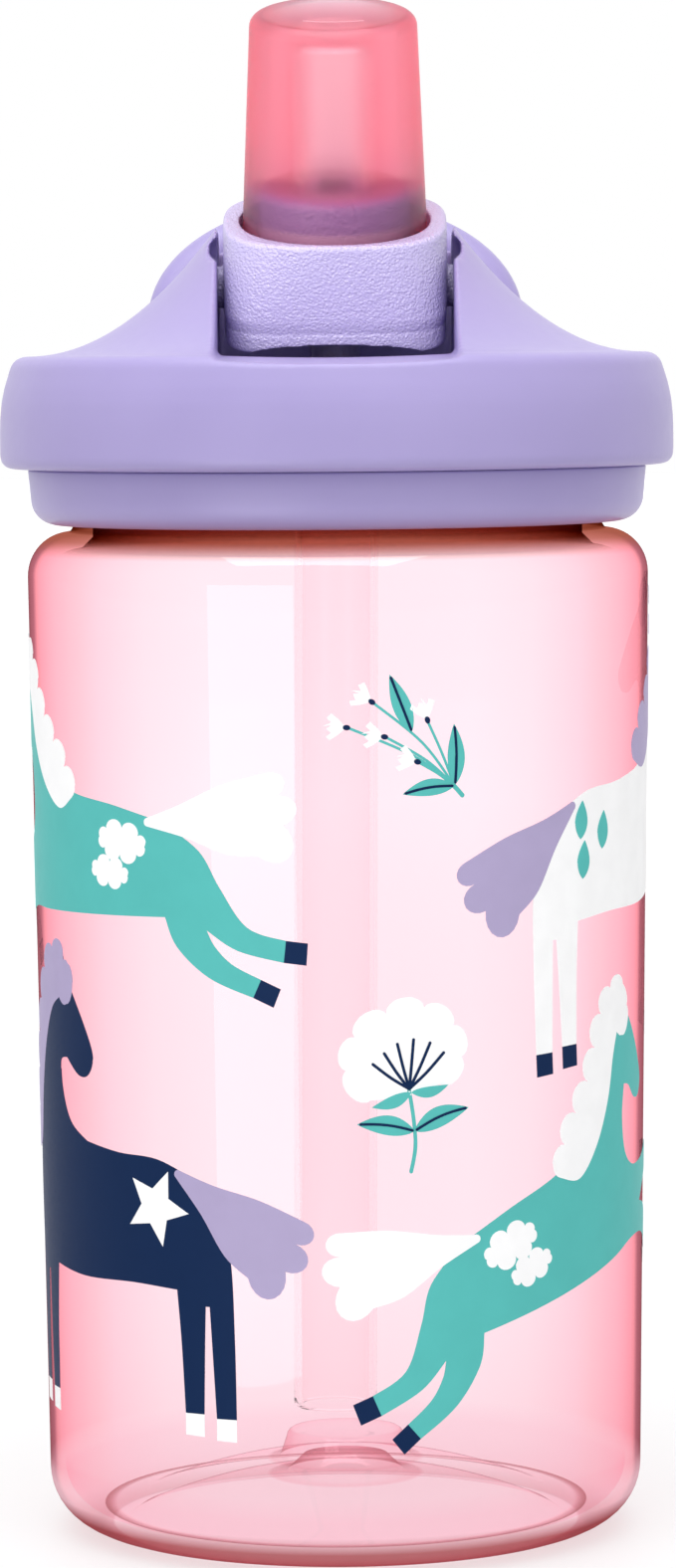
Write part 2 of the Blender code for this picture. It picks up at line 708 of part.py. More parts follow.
def main():
    clear_scene()
    clear_pink = material("clear_pink", (0.94, 0.55, 0.62), 0.06, 0.9)
    lilac = material("lilac_plastic", (0.46, 0.40, 0.72), 0.35)
    textured_lilac = material("textured_lilac", (0.48, 0.42, 0.74), 0.5)
    silicone_pink = material("silicone_pink", (0.95, 0.25, 0.33), 0.4, 0.4)
    silicone_clear = material("silicone_clear", (0.85, 0.83, 0.86), 0.4, 0.3)
    clear_straw = material("clear_straw", (0.93, 0.86, 0.88), 0.08, 0.8)
    hinge = hinge_frame()
    build_body(clear_pink)
    build_collar(lilac)
    build_shell(lilac)
    build_gasket(silicone_clear)
    build_straw(clear_straw)
    build_vent(silicone_clear)
    build_seal(silicone_clear)
    build_arm(textured_lilac, hinge)
    build_valve(silicone_pink, hinge)


main()
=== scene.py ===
"""Looks of a child's water bottle: clear pink body with a print, lilac lid, pink bite valve.

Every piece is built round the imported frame, in metres, +Z up, with the front at -Y.
"""

import json
from math import ceil, copysign, cos, dist, exp, floor, pi, radians, sin, sqrt

import bmesh
import bpy
from mathutils import Matrix, Vector


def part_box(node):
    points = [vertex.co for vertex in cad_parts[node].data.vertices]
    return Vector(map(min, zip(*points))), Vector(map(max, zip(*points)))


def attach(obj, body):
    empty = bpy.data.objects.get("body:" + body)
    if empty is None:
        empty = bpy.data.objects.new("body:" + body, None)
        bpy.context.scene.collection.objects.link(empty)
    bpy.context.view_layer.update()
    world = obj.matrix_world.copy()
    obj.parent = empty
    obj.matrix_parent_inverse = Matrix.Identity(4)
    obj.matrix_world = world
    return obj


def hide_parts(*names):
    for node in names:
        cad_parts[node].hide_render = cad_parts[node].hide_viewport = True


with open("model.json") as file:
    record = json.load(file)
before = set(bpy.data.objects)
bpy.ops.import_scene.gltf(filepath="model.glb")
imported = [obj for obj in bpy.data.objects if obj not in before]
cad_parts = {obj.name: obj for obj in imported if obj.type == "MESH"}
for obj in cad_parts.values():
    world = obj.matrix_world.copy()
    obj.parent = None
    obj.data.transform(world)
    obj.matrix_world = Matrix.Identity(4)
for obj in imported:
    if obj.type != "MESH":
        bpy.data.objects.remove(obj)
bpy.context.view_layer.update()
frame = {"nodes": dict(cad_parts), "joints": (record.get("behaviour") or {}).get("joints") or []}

SCENE = bpy.context.scene
MM = 0.001
TURN = 2 * pi


def mm(*sizes):
    return tuple(size * MM for size in sizes)


# Sizes and places read from the frame
BODY_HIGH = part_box("bottle_body")[1]
SHELL_LOW, SHELL_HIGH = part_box("lid_shell")
COLLAR_LOW, COLLAR_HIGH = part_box("lid_collar")
STRAW_LOW, STRAW_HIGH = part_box("straw")
SEAL_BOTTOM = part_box("spout_seal")[0].z
HINGE = Vector(next(j["pos_m"] for j in frame["joints"] if j["name"] == "valve_flip"))
BODY_RADIUS = BODY_HIGH.x
NECK_TOP = BODY_HIGH.z
RING_RADIUS = SHELL_HIGH.x
RING_BOTTOM = SHELL_LOW.z
COLLAR_BOTTOM = COLLAR_LOW.z
COLLAR_RADIUS = COLLAR_HIGH.x
PORT_Y = (STRAW_LOW.y + STRAW_HIGH.y) / 2

# Body
FOOT_RADIUS = BODY_RADIUS - 1.4 * MM
WALL = 1.8 * MM
CORNER = 7 * MM
FOOT_RING_INNER = 26.2 * MM
FLOOR = 2.2 * MM
DOME_RADIUS, DOME_RISE = mm(26, 5.8)
NUB_RADIUS, NUB_TOP = mm(7, 10.8)
SHOULDER_Z = NECK_TOP - 18.4 * MM
SHOULDER_RISE, SHOULDER_REACH = mm(5.2, 5)
NECK_RADIUS, NECK_BORE = mm(31, 28.8)
NECK_LIP = 0.6 * MM

# Screw thread
PITCH = 4 * MM
THREAD_TURNS = 1.5
THREAD_HEIGHT, THREAD_WIDTH = mm(1.2, 0.75)
NECK_THREAD_Z = NECK_TOP - 9 * MM
LID_THREAD_Z = NECK_THREAD_Z - PITCH / 2

# Lid
COLLAR_LEDGE = RING_BOTTOM - 0.06 * MM
COLLAR_PLUG, COLLAR_BORE = mm(34.6, 32.8)
DECK_TOP, DECK_BOTTOM = mm(134.2, 132.9)
RIM_Z = 138.4 * MM
RING_BULGE = ((0.62, 3.6), (0.24, 5.4), (0.05, 7.4), (0, 9))  # mm inward, mm below RIM_Z
RING_EDGE = 1.4 * MM
BELL_FOOT = 36
BELL_RISE = 0.0306
CROWN_RADIUS = 13.1 * MM
BELL_WALL = 2.2 * MM
CHANNEL = 13.7 * MM
CHANNEL_WALL = 1.8 * MM
POCKET_FLOOR = 135.5 * MM
POCKET_FRONT, POCKET_BACK = mm(-13.5, 8.5)
SCOOP_DEPTH, SCOOP_FALL = mm(0.35, 0.75)
SHELL_INSIDE = DECK_TOP + 0.3 * MM
NIPPLE_RADIUS, NIPPLE_BOTTOM = mm(3.75, 121)
BOSS_RADIUS = 2.9 * MM
PORT_HOLE = 3.8 * MM
PORT_BORE, VENT_BORE = mm(2, 1.5)
PIN_HOLE = 2.6 * MM
NOTCH = 0.95 * MM
NOTCH_LOW, NOTCH_HIGH = mm(149.4, 151.9)
LOOP_HALF_WIDTH, LOOP_RISE = mm(20.2, 12)
LOOP_FOOT, LOOP_SHOULDER = mm(137.2, 142.6)
LOOP_BAR = 2.8 * MM
LOOP_BACK = 27 * MM
LOOP_LEAN = 0.36

# Straw
STRAW_WALL = 0.9 * MM
STRAW_TILT = radians(0.55)

# Spout, along its own axis from the hinge
LEAN = radians(20)
ARM_HALF = mm(13, 10.2)
ARM_EDGE = -2.4 * MM
ARM_BOTTOM = -4.9 * MM
ARCH = mm(9.8, 1.2)
ARM_LIP = 8.3 * MM
CUP_HALF = mm(11.1, 9.25)
CUP_FLOOR = 3.8 * MM
WEB_BOTTOM = 2 * MM
PLUG_HALF = mm(8.7, 6.8)
PLUG_TOP = 12.6 * MM
VALVE_BASE = mm(10.85, 9)
VALVE_CROWN = mm(9.65, 8)
VALVE_TOP = 33 * MM
VALVE_CHANNEL = mm(4.1, 4.2)
VALVE_DISH = MM
LIP_SQUARENESS, FOOT_SQUARENESS = 2.8, 5.2
UNDERCUT = mm(10.9, 8.8)
DRUM_RADIUS, DRUM_END = mm(7, 8)
HUB_RADIUS, HUB_END = mm(5, 12.4)
PIN_RADIUS, PIN_END = mm(2.45, 15.3)
SPOUT_BORE, DRUM_PORT = mm(2.2, 2.1)

SPOUT_FRAME = Matrix.Translation(HINGE) @ Matrix.Rotation(LEAN, 4, "X")


# == Mesh helpers


def new_piece(name, verts, faces, matrix=None):
    mesh = bpy.data.meshes.new(name)
    mesh.from_pydata([tuple(v) for v in verts], [], faces)
    bm = bmesh.new()
    bm.from_mesh(mesh)
    if matrix is not None:
        bmesh.ops.transform(bm, matrix=matrix, verts=bm.verts)
    bmesh.ops.recalc_face_normals(bm, faces=bm.faces)
    bm.to_mesh(mesh)
    bm.free()
    return placed(name, mesh)


def placed(name, data):
    obj = bpy.data.objects.new(name, data)
    SCENE.collection.objects.link(obj)
    return obj


def arc(centre, radii, start_deg, end_deg, steps):
    """Points on an ellipse about centre, in (radius, height)."""
    angles = [radians(start_deg + (end_deg - start_deg) * i / steps) for i in range(steps + 1)]
    return [(centre[0] + radii[0] * cos(a), centre[1] + radii[1] * sin(a)) for a in angles]


def fillet(r, z, radius, start_deg, end_deg, steps):
    return arc((r, z), (radius, radius), start_deg, end_deg, steps)


def spaced(start, end, steps):
    """Numbers from start to end, both included."""
    return [start + (end - start) * i / steps for i in range(steps + 1)]


def revolve(name, profile, segments=160, ring=False, shift=None, matrix=None):
    """Turns an (r, z) profile about Z. shift(r, z, angle) is added to a point's radius."""
    verts, rows = [], []
    for radius, height in profile:
        if radius < 1e-7:
            rows.append([len(verts)])
            verts.append((0, 0, height))
            continue
        row = []
        for k in range(segments):
            angle = TURN * k / segments
            reach = radius + (shift(radius, height, angle) if shift else 0)
            row.append(len(verts))
            verts.append((reach * cos(angle), reach * sin(angle), height))
        rows.append(row)
    faces = []
    # A ring's last row joins its first.
    for upper, lower in zip(rows, rows[1:] + rows[:1] * ring):
        for k in range(segments):
            after = (k + 1) % segments
            quad = [
                upper[k % len(upper)], lower[k % len(lower)],
                lower[after % len(lower)], upper[after % len(upper)],
            ]
            face = list(dict.fromkeys(quad))
            if len(face) > 2:
                faces.append(face)
    return new_piece(name, verts, faces, matrix)


def superellipse(half_x, half_y, squareness, steps):
    points = []
    for k in range(steps):
        c, s = cos(TURN * k / steps), sin(TURN * k / steps)
        x = copysign(abs(c) ** (2 / squareness), c) * half_x
        points.append((x, copysign(abs(s) ** (2 / squareness), s) * half_y))
    return points


def bands(rings, steps):
    """Faces that join each ring of vertices to the next."""
    faces = []
    for low in range(0, (rings - 1) * steps, steps):
        high = low + steps
        for k in range(steps):
            after = (k + 1) % steps
            faces.append((low + k, low + after, high + after, high + k))
    return faces


def loft(name, sections, steps=96):
    """A closed form through oval sections, each (height, half_x, half_y, squareness)."""
    verts, faces = [], bands(len(sections), steps)
    for height, *oval in sections:
        verts += [(x, y, height) for x, y in superellipse(*oval, steps)]
    for start in (0, (len(sections) - 1) * steps):
        centre = len(verts)
        middle = sum((Vector(verts[start + k]) for k in range(steps)), Vector()) / steps
        verts.append(tuple(middle))
        faces += [(start + k, start + (k + 1) % steps, centre) for k in range(steps)]
    return new_piece(name, verts, faces)


def rounded(low, high, half, squareness, round_low, round_high, steps=5, taper=None):
    """Sections of an upright oval with rounded rims."""
    top = taper or half
    angles = [pi / 2 * i / steps for i in range(steps + 1)]
    rims = [(low + round_low * (1 - cos(a)), half, round_low * (1 - sin(a))) for a in angles]
    rims += [(high - round_high * (1 - sin(a)), top, round_high * (1 - cos(a))) for a in angles]
    return [(z, x - inset, y - inset, squareness) for z, (x, y), inset in rims]


def cylinder(name, radius, start, end, segments=64):
    start, end = Vector(start), Vector(end)
    along = end - start
    place = Matrix.Translation((start + end) / 2)
    place = place @ along.to_track_quat("Z", "Y").to_matrix().to_4x4()
    half = along.length / 2
    profile = [(0, half), (radius, half), (radius, -half), (0, -half)]
    return revolve(name, profile, segments, matrix=place)


def box(name, low, high):
    x, y, z = zip(low, high)
    verts = [(a, b, c) for a in x for b in y for c in z]
    faces = [(0, 1, 3, 2), (4, 6, 7, 5), (0, 4, 5, 1), (2, 3, 7, 6), (0, 2, 6, 4), (1, 5, 7, 3)]
    return new_piece(name, verts, faces)


def prism(name, outline, front, back):
    """An (x, z) outline carried along Y."""
    count = len(outline)
    verts = [(x, front, z) for x, z in outline] + [(x, back, z) for x, z in outline]
    faces = [tuple(range(count)), tuple(range(2 * count - 1, count - 1, -1))]
    faces += [(k, (k + 1) % count, count + (k + 1) % count, count + k) for k in range(count)]
    return new_piece(name, verts, faces)


def tube(name, points, radius, sides=32):
    """A round bar through the points, closed at its ends."""
    verts = []
    count = len(points)
    points = [Vector(p) for p in points]
    for i, point in enumerate(points):
        tangent = (points[min(i + 1, count - 1)] - points[max(i - 1, 0)]).normalized()
        side = tangent.cross(Vector((0, 1, 0))).normalized()
        other = side.cross(tangent).normalized()
        for k in range(sides):
            angle = TURN * k / sides
            verts.append(point + (side * cos(angle) + other * sin(angle)) * radius)
    last = (count - 1) * sides
    ends = [tuple(range(sides)), tuple(range(last + sides - 1, last - 1, -1))]
    return new_piece(name, verts, bands(count, sides) + ends)


def bake(obj):
    """Replaces the object's mesh with its evaluated mesh and clears its modifiers."""
    bpy.context.view_layer.update()
    graph = bpy.context.evaluated_depsgraph_get()
    mesh = bpy.data.meshes.new_from_object(obj.evaluated_get(graph))
    obj.modifiers.clear()
    obj.data = mesh
    return obj


def combine(target, others, operation):
    """Booleans the others into the target, then removes them."""
    for other in others:
        boolean = target.modifiers.new(other.name, "BOOLEAN")
        boolean.object = other
        boolean.operation = operation
        boolean.solver = "EXACT"
        bake(target)
        bpy.data.objects.remove(other, do_unlink=True)
    return target


def soften(obj, voxel, passes=3):
    """Rounds the edges that cutting left sharp, as moulded plastic has them."""
    remesh = obj.modifiers.new("even", "REMESH")
    remesh.mode = "VOXEL"
    remesh.voxel_size = voxel
    bake(obj)
    smooth = obj.modifiers.new("smooth", "SMOOTH")
    smooth.factor = 0.5
    smooth.iterations = passes
    return bake(obj)


def dress(obj, look, body, *nodes, slot=None, sharp=None):
    obj.data.materials.clear()
    obj.data.materials.append(look)
    obj.data.shade_smooth()
    if sharp:
        obj.data.set_sharp_from_angle(angle=radians(sharp))
    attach(obj, body)
    if nodes:
        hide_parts(*nodes)
    return obj


# == Materials


class Nodes:
    """The node tree of a new material or world, with short calls to add and link nodes."""

    def __init__(self, name, owners=bpy.data.materials, shader="Principled BSDF"):
        self.owner = owners.new(name)
        self.owner.use_nodes = True
        self.tree = self.owner.node_tree
        self.shader = self.tree.nodes[shader]

    def add(self, kind, **values):
        node = self.tree.nodes.new("ShaderNode" + kind)
        for key, value in values.items():
            if key in node.inputs:
                self.link(value, node.inputs[key])
            else:
                setattr(node, key, value)
        return node

    def link(self, source, target):
        """Links a socket to the target, or sets the target to a number or a colour."""
        if hasattr(source, "is_output"):
            self.tree.links.new(source, target)
        elif target.type == "RGBA":
            target.default_value = (*source, 1)
        else:
            target.default_value = source

    def set(self, **values):
        """Links or sets the shader's inputs, whose names have _ for a space."""
        for key, value in values.items():
            self.link(value, self.shader.inputs[key.replace("_", " ")])

    def coordinates(self):
        return self.add("TexCoord").outputs["Object"]

    def facing(self):
        return self.add("LayerWeight", Blend=0.5).outputs["Facing"]

    def backfacing(self):
        return self.add("NewGeometry").outputs["Backfacing"]

    def ray(self, kind):
        return self.add("LightPath").outputs[f"Is {kind} Ray"]

    def noise(self, scale, detail=2):
        node = self.add("TexNoise", Scale=scale, Detail=detail, Vector=self.coordinates())
        return node.outputs["Fac"]

    def ramp(self, source, stops):
        node = self.add("ValToRGB", Fac=source)
        elements = node.color_ramp.elements
        for i, (position, colour) in enumerate(stops):
            element = elements[i] if i < 2 else elements.new(position)
            element.position = position
            element.color = (*colour, 1)
        return node.outputs["Color"]

    def spread(self, source, *limits):
        node = self.add("MapRange", Value=source)
        for socket, limit in zip(node.inputs[1:5], limits):
            socket.default_value = limit
        return node.outputs["Result"]

    def range(self, source, low, high):
        """low to high as the source goes from 0 to 1."""
        return self.spread(source, 0, 1, low, high)

    def stretch(self, source, low, high):
        """0 up to low and 1 from high."""
        return self.spread(source, low, high, 0, 1)

    def bump(self, height, strength, distance):
        node = self.add("Bump", Strength=strength, Distance=distance, Height=height)
        self.set(Normal=node.outputs["Normal"])

    def blend(self, share, source, colour):
        node = self.add("Mix", data_type="RGBA")
        for value, index in ((share, 0), (source, 6), (colour, 7)):
            self.link(value, node.inputs[index])
        return node.outputs[2]

    def mix(self, share, first, second):
        node = self.add("MixShader")
        self.link(share, node.inputs[0])
        self.link(first.outputs[0], node.inputs[1])
        self.link(second.outputs[0], node.inputs[2])
        return node

    def maths(self, operation, *sources, kind="Math"):
        node = self.add(kind, operation=operation)
        for source, socket in zip(sources, node.inputs):
            self.link(source, socket)
        return node.outputs["Value"]

    def times(self, first, *others):
        for other in others:
            first = self.maths("MULTIPLY", first, other)
        return first

    def vector_maths(self, operation, *sources):
        return self.maths(operation, *sources, kind="VectorMath")

    def outward(self):
        """Above 0 where the surface faces away from the bottle's middle."""
        normal = self.add("TexCoord").outputs["Normal"]
        return self.vector_maths("DOT_PRODUCT", normal, self.coordinates())

    def clear(self, tint):
        return self.add("BsdfTransparent", Color=tint)

    def let_lamps_through(self, tint, surface=None):
        """Shadow rays pass as through thin clear plastic."""
        surface = surface or self.shader
        self.finish(self.mix(self.ray("Shadow"), surface, self.clear(tint)))

    def finish(self, node, socket="Surface"):
        self.link(node.outputs[0], self.tree.nodes["Material Output"].inputs[socket])


def lilac_plastic():
    n = Nodes("lilac_plastic")
    n.set(
        IOR=1.5, Specular_IOR_Level=0.42, Subsurface_Weight=0.12,
        Subsurface_Radius=(1, 0.8, 1.2), Subsurface_Scale=0.0012,
        Base_Color=n.ramp(
            n.noise(38, 3), [(0.3, (0.335, 0.285, 0.54)), (0.7, (0.365, 0.312, 0.575))]
        ),
        Roughness=n.range(n.noise(700, 4), 0.33, 0.43),
    )
    n.bump(n.noise(2600, 3), 0.12, 0.00004)
    return n.owner


def textured_lilac():
    """The holder's plastic, with a fine leather grain, and painted shade that darkens the plug inside the
    valve.
    """
    n = Nodes("textured_lilac")
    grain = n.add("TexVoronoi", feature="SMOOTH_F1", Scale=3300, Vector=n.coordinates())
    fine = n.noise(4200, 4)
    height = n.add("Mix", data_type="FLOAT")
    height.inputs[0].default_value = 0.45
    n.link(grain.outputs["Distance"], height.inputs[2])
    n.link(fine, height.inputs[3])
    axis = SPOUT_FRAME.to_3x3() @ Vector((0, 0, 1))
    lip = HINGE.dot(axis) + ARM_LIP
    along = n.vector_maths("DOT_PRODUCT", n.coordinates(), axis)
    # Painted shade: the plug above the holder's lip, inside the valve, takes a darker colour.
    plug = n.stretch(along, lip + 0.1 * MM, lip + 0.5 * MM)
    base_tone = n.ramp(n.noise(60), [(0.3, (0.425, 0.375, 0.6)), (0.7, (0.455, 0.407, 0.63))])
    n.set(
        Specular_IOR_Level=0.9, Roughness=n.range(fine, 0.26, 0.4),
        Base_Color=n.blend(plug, base_tone, (0.27, 0.2, 0.5)),
    )
    n.bump(height.outputs[0], 1, 0.00024)
    return n.owner


def clear_pink():
    """Tinted clear plastic, whose colour deepens where the wall is seen edge on.

    Light goes straight through it, and each crossing of an outer face tints it.
    """
    n = Nodes("clear_pink")
    facing, backfacing = n.facing(), n.backfacing()
    place = n.add("SeparateXYZ", Vector=n.coordinates())
    height = place.outputs["Z"]
    squares = [n.times(place.outputs[i], place.outputs[i]) for i in (0, 1)]
    radius = n.maths("SQRT", n.maths("ADD", *squares))
    # The normal turns over with the side that is seen, and this turns it back.
    sign = n.times(n.outward(), n.range(backfacing, 1, -1))
    inner_face = n.stretch(sign, 0, -0.001)
    near = n.range(n.maths("MAXIMUM", inner_face, backfacing), 1, 0)

    wall = n.ramp(facing, [
        (0, (0.995, 0.85, 0.89)), (0.1, (1, 0.855, 0.895)), (0.22, (1, 0.83, 0.872)),
        (0.376, (1, 0.765, 0.82)), (0.46, (1, 0.715, 0.768)), (0.53, (1, 0.68, 0.738)),
        (0.6, (1, 0.655, 0.715)), (0.67, (1, 0.62, 0.68)), (0.735, (0.985, 0.58, 0.64)),
        (0.775, (0.94, 0.53, 0.58)), (0.825, (0.66, 0.36, 0.41)), (1, (0.48, 0.25, 0.28)),
    ])
    tint = n.blend(inner_face, wall, (1, 1, 1))
    # Painted shade: a dark brown-red tint on the neck and the top of the shoulder, deeper where the neck
    # is seen edge on, in place of the shade under the lid and the lid's dark inside seen there.
    neck = n.stretch(height, SHOULDER_Z + 2.6 * MM, SHOULDER_Z + 4.4 * MM)
    neck_wall = n.stretch(radius, NECK_RADIUS + 0.8 * MM, NECK_RADIUS + 0.3 * MM)
    painted_neck_shade = n.ramp(n.times(neck_wall, facing), [
        (0, (0.6, 0.31, 0.25)), (0.35, (0.56, 0.27, 0.21)), (0.85, (0.27, 0.08, 0.04)),
    ])
    tint = n.blend(neck, tint, painted_neck_shade)

    base = n.ramp(facing, [
        (0, (1, 0.95, 0.965)), (0.8, (1, 0.93, 0.95)), (0.93, (1, 0.88, 0.91)),
        (1, (0.66, 0.36, 0.4)),
    ])
    on_base = n.times(
        n.stretch(height, NUB_TOP + 1.8 * MM, NUB_TOP + 1.4 * MM),
        n.stretch(radius, DOME_RADIUS + 2 * MM, DOME_RADIUS + 1.2 * MM),
    )
    tint = n.blend(on_base, tint, base)
    corner = n.times(n.stretch(height, 8.5 * MM, 6 * MM), n.range(on_base, 0.66, 0))
    tint = n.blend(corner, tint, (1, 0.86, 0.9))
    # Painted shade: a dark red band on the outside of the foot's corner, low down near the floor.
    painted_foot_shade = n.times(
        n.stretch(height, 4.4 * MM, 2.2 * MM), near, n.stretch(radius, 27.5 * MM, 29 * MM)
    )
    tint = n.blend(painted_foot_shade, tint, (0.46, 0.14, 0.15))
    nub = n.times(
        n.stretch(radius, NUB_RADIUS + 2.4 * MM, NUB_RADIUS + 1.8 * MM),
        n.stretch(height, NUB_TOP - 0.05 * MM, NUB_TOP - 0.2 * MM), on_base,
    )
    nub_side = n.ramp(facing, [
        (0, (1, 0.95, 0.96)), (0.45, (1, 0.87, 0.9)), (0.8, (0.96, 0.7, 0.75)),
        (1, (0.7, 0.4, 0.45)),
    ])
    tint = n.blend(nub, tint, nub_side)

    n.set(Metallic=1, Roughness=0.03, Base_Color=(1, 1, 1))
    shine = n.times(n.stretch(facing, 0.7, 0.5), n.range(near, 0, 0.05))
    sheen = n.times(
        on_base, n.range(backfacing, 1, 0), n.range(n.stretch(facing, 0.55, 1), 0.02, 0.26)
    )
    mirror = n.mix(n.maths("MAXIMUM", shine, sheen), n.clear(tint), n.shader)
    n.let_lamps_through((0.97, 0.84, 0.87), mirror)
    return n.owner


def clear_straw():
    n = Nodes("clear_straw")
    tint = n.ramp(n.facing(), [
        (0, (0.995, 0.945, 0.955)), (0.5, (0.995, 0.92, 0.935)), (0.9, (0.99, 0.84, 0.87))
    ])
    n.set(Roughness=0.05, IOR=1.15, Transmission_Weight=1, Base_Color=tint)
    n.let_lamps_through((0.97, 0.93, 0.94))
    return n.owner


def pink_silicone():
    """Translucent silicone of the bite valve."""
    n = Nodes("pink_silicone")
    tint = n.ramp(n.facing(), [
        (0, (1, 0.96, 0.97)), (0.4, (1, 0.86, 0.9)), (0.75, (1, 0.58, 0.65)),
        (1, (0.97, 0.45, 0.52)),
    ])
    n.set(
        IOR=1.41, Specular_IOR_Level=0.28, Transmission_Weight=0.96, Base_Color=tint,
        Roughness=n.range(n.noise(500, 3), 0.27, 0.35),
    )
    n.bump(n.noise(1800), 0.1, 0.00003)
    n.finish(n.add("VolumeAbsorption", Color=(1, 0.3, 0.45), Density=125), "Volume")
    n.let_lamps_through((1, 0.7, 0.75), n.mix(0.36, n.shader, n.clear(tint)))
    return n.owner


def milky_silicone():
    n = Nodes("milky_silicone")
    n.set(
        IOR=1.41, Transmission_Weight=0.35, Roughness=n.range(n.noise(900, 3), 0.38, 0.5),
        Base_Color=n.ramp(n.noise(90), [(0.3, (0.83, 0.81, 0.85)), (0.7, (0.88, 0.86, 0.9))]),
    )
    return n.owner


def ink(name, colour):
    """Print that is opaque from outside and faint from within."""
    n = Nodes(name)
    low = tuple(c * 0.965 for c in colour)
    n.set(
        Specular_IOR_Level=0.03, Roughness=n.range(n.noise(1500, 3), 0.36, 0.46),
        Base_Color=n.ramp(n.noise(260, 4), [(0.35, low), (0.65, colour)]),
    )
    reverse = n.maths("MAXIMUM", n.backfacing(), n.stretch(n.outward(), 0, -0.001))
    n.finish(n.mix(n.range(reverse, 0, 0.9), n.shader, n.clear((1, 1, 1))))
    return n.owner


# == Body


def body_radius(height):
    """Outer radius of the straight side, which narrows a little to the foot."""
    share = min(1, max(0, (height - CORNER) / (SHOULDER_Z - CORNER)))
    return FOOT_RADIUS + (BODY_RADIUS - FOOT_RADIUS) * share


def dome(radius):
    return FLOOR + DOME_RISE * max(0, 1 - (radius / DOME_RADIUS) ** 2)


def thread_ridge(bottom):
    """Height of a one-and-a-half-turn ridge at (height, angle), fading at both ends."""

    def ridge(height, angle):
        best = 0
        for lap in range(int(THREAD_TURNS) + 1):
            turns = angle / TURN + lap
            if turns > THREAD_TURNS:
                continue
            away = (height - bottom - PITCH * turns) / THREAD_WIDTH
            fade = min(1, turns / 0.06, (THREAD_TURNS - turns) / 0.06)
            best = max(best, THREAD_HEIGHT * fade * exp(-(away ** 4)))
        return best

    return ridge


def build_body(look):
    corner = CORNER - WALL
    inside = [(0, NUB_TOP), *fillet(NUB_RADIUS - MM, NUB_TOP - MM, MM, 90, 0, 4)]
    inside += [(r, dome(r)) for r in spaced(NUB_RADIUS + 0.8 * MM, DOME_RADIUS - MM, 12)]
    inside += fillet(FOOT_RADIUS - WALL - corner, FLOOR + corner, corner, -90, 0, 10)
    bore = NECK_BORE + 1.4 * MM
    inside += arc(
        (bore, SHOULDER_Z - MM), (BODY_RADIUS - WALL - bore, SHOULDER_RISE - MM), 0, 90, 12
    )
    neck_foot = SHOULDER_Z + SHOULDER_RISE
    inside += [(NECK_BORE, z) for z in spaced(neck_foot - NECK_LIP, NECK_TOP - NECK_LIP, 3)]
    lip = fillet(NECK_BORE + NECK_LIP, NECK_TOP - NECK_LIP, NECK_LIP, 180, 90, 4)
    lip += fillet(NECK_RADIUS - NECK_LIP, NECK_TOP - NECK_LIP, NECK_LIP, 90, 0, 4)
    outside = [(NECK_RADIUS, z) for z in spaced(NECK_TOP - 0.9 * MM, neck_foot + 0.8 * MM, 44)]
    outside += arc(
        (BODY_RADIUS - SHOULDER_REACH, SHOULDER_Z), (SHOULDER_REACH, SHOULDER_RISE), 90, 0, 14
    )
    outside += zip(
        spaced(body_radius(SHOULDER_Z), FOOT_RADIUS, 8)[1:-1], spaced(SHOULDER_Z, CORNER, 8)[1:-1]
    )
    outside += fillet(FOOT_RADIUS - CORNER, CORNER, CORNER, 0, -90, 12)
    under = [(FOOT_RING_INNER, 0), (FOOT_RING_INNER - 0.4 * MM, 0.15 * MM)]
    reach = spaced(FOOT_RING_INNER - 1.2 * MM, NUB_RADIUS, 10)
    under += [(r, dome(r) - FLOOR + 0.3 * MM) for r in reach]
    under += [(NUB_RADIUS - 2 * MM, NUB_TOP - 3.2 * MM), (0, NUB_TOP - 3.2 * MM)]
    ridge = thread_ridge(NECK_THREAD_Z)

    def shift(radius, height, angle):
        on_neck = abs(radius - NECK_RADIUS) < 1e-6 and height < NECK_TOP - 0.8 * MM
        return ridge(height, angle) if on_neck else 0

    body = revolve("clear_body", inside + lip + outside + under, 192, shift=shift)
    return dress(body, look, "bottle", "bottle_body", slot="clear_body")


def build_straw(look):
    outer = (STRAW_HIGH.x - STRAW_LOW.x) / 2
    inner = outer - STRAW_WALL
    edge = 0.2 * MM
    profile = [
        (outer - edge, STRAW_HIGH.z), (outer, STRAW_HIGH.z - edge),
        (outer, STRAW_LOW.z + edge), (outer - edge, STRAW_LOW.z),
        (inner + edge, STRAW_LOW.z), (inner, STRAW_LOW.z + edge),
        (inner, STRAW_HIGH.z - edge), (inner + edge, STRAW_HIGH.z),
    ]
    # It hangs from its top, a little off the vertical.
    hang = Matrix.Translation((0, PORT_Y, STRAW_HIGH.z)) @ Matrix.Rotation(STRAW_TILT, 4, "Y")
    hang = hang @ Matrix.Translation((0, 0, -STRAW_HIGH.z))
    straw = revolve("drinking_straw", profile, 64, ring=True, matrix=hang)
    return dress(straw, look, "lid", "straw", slot="clear_straw", sharp=40)


# == Lid


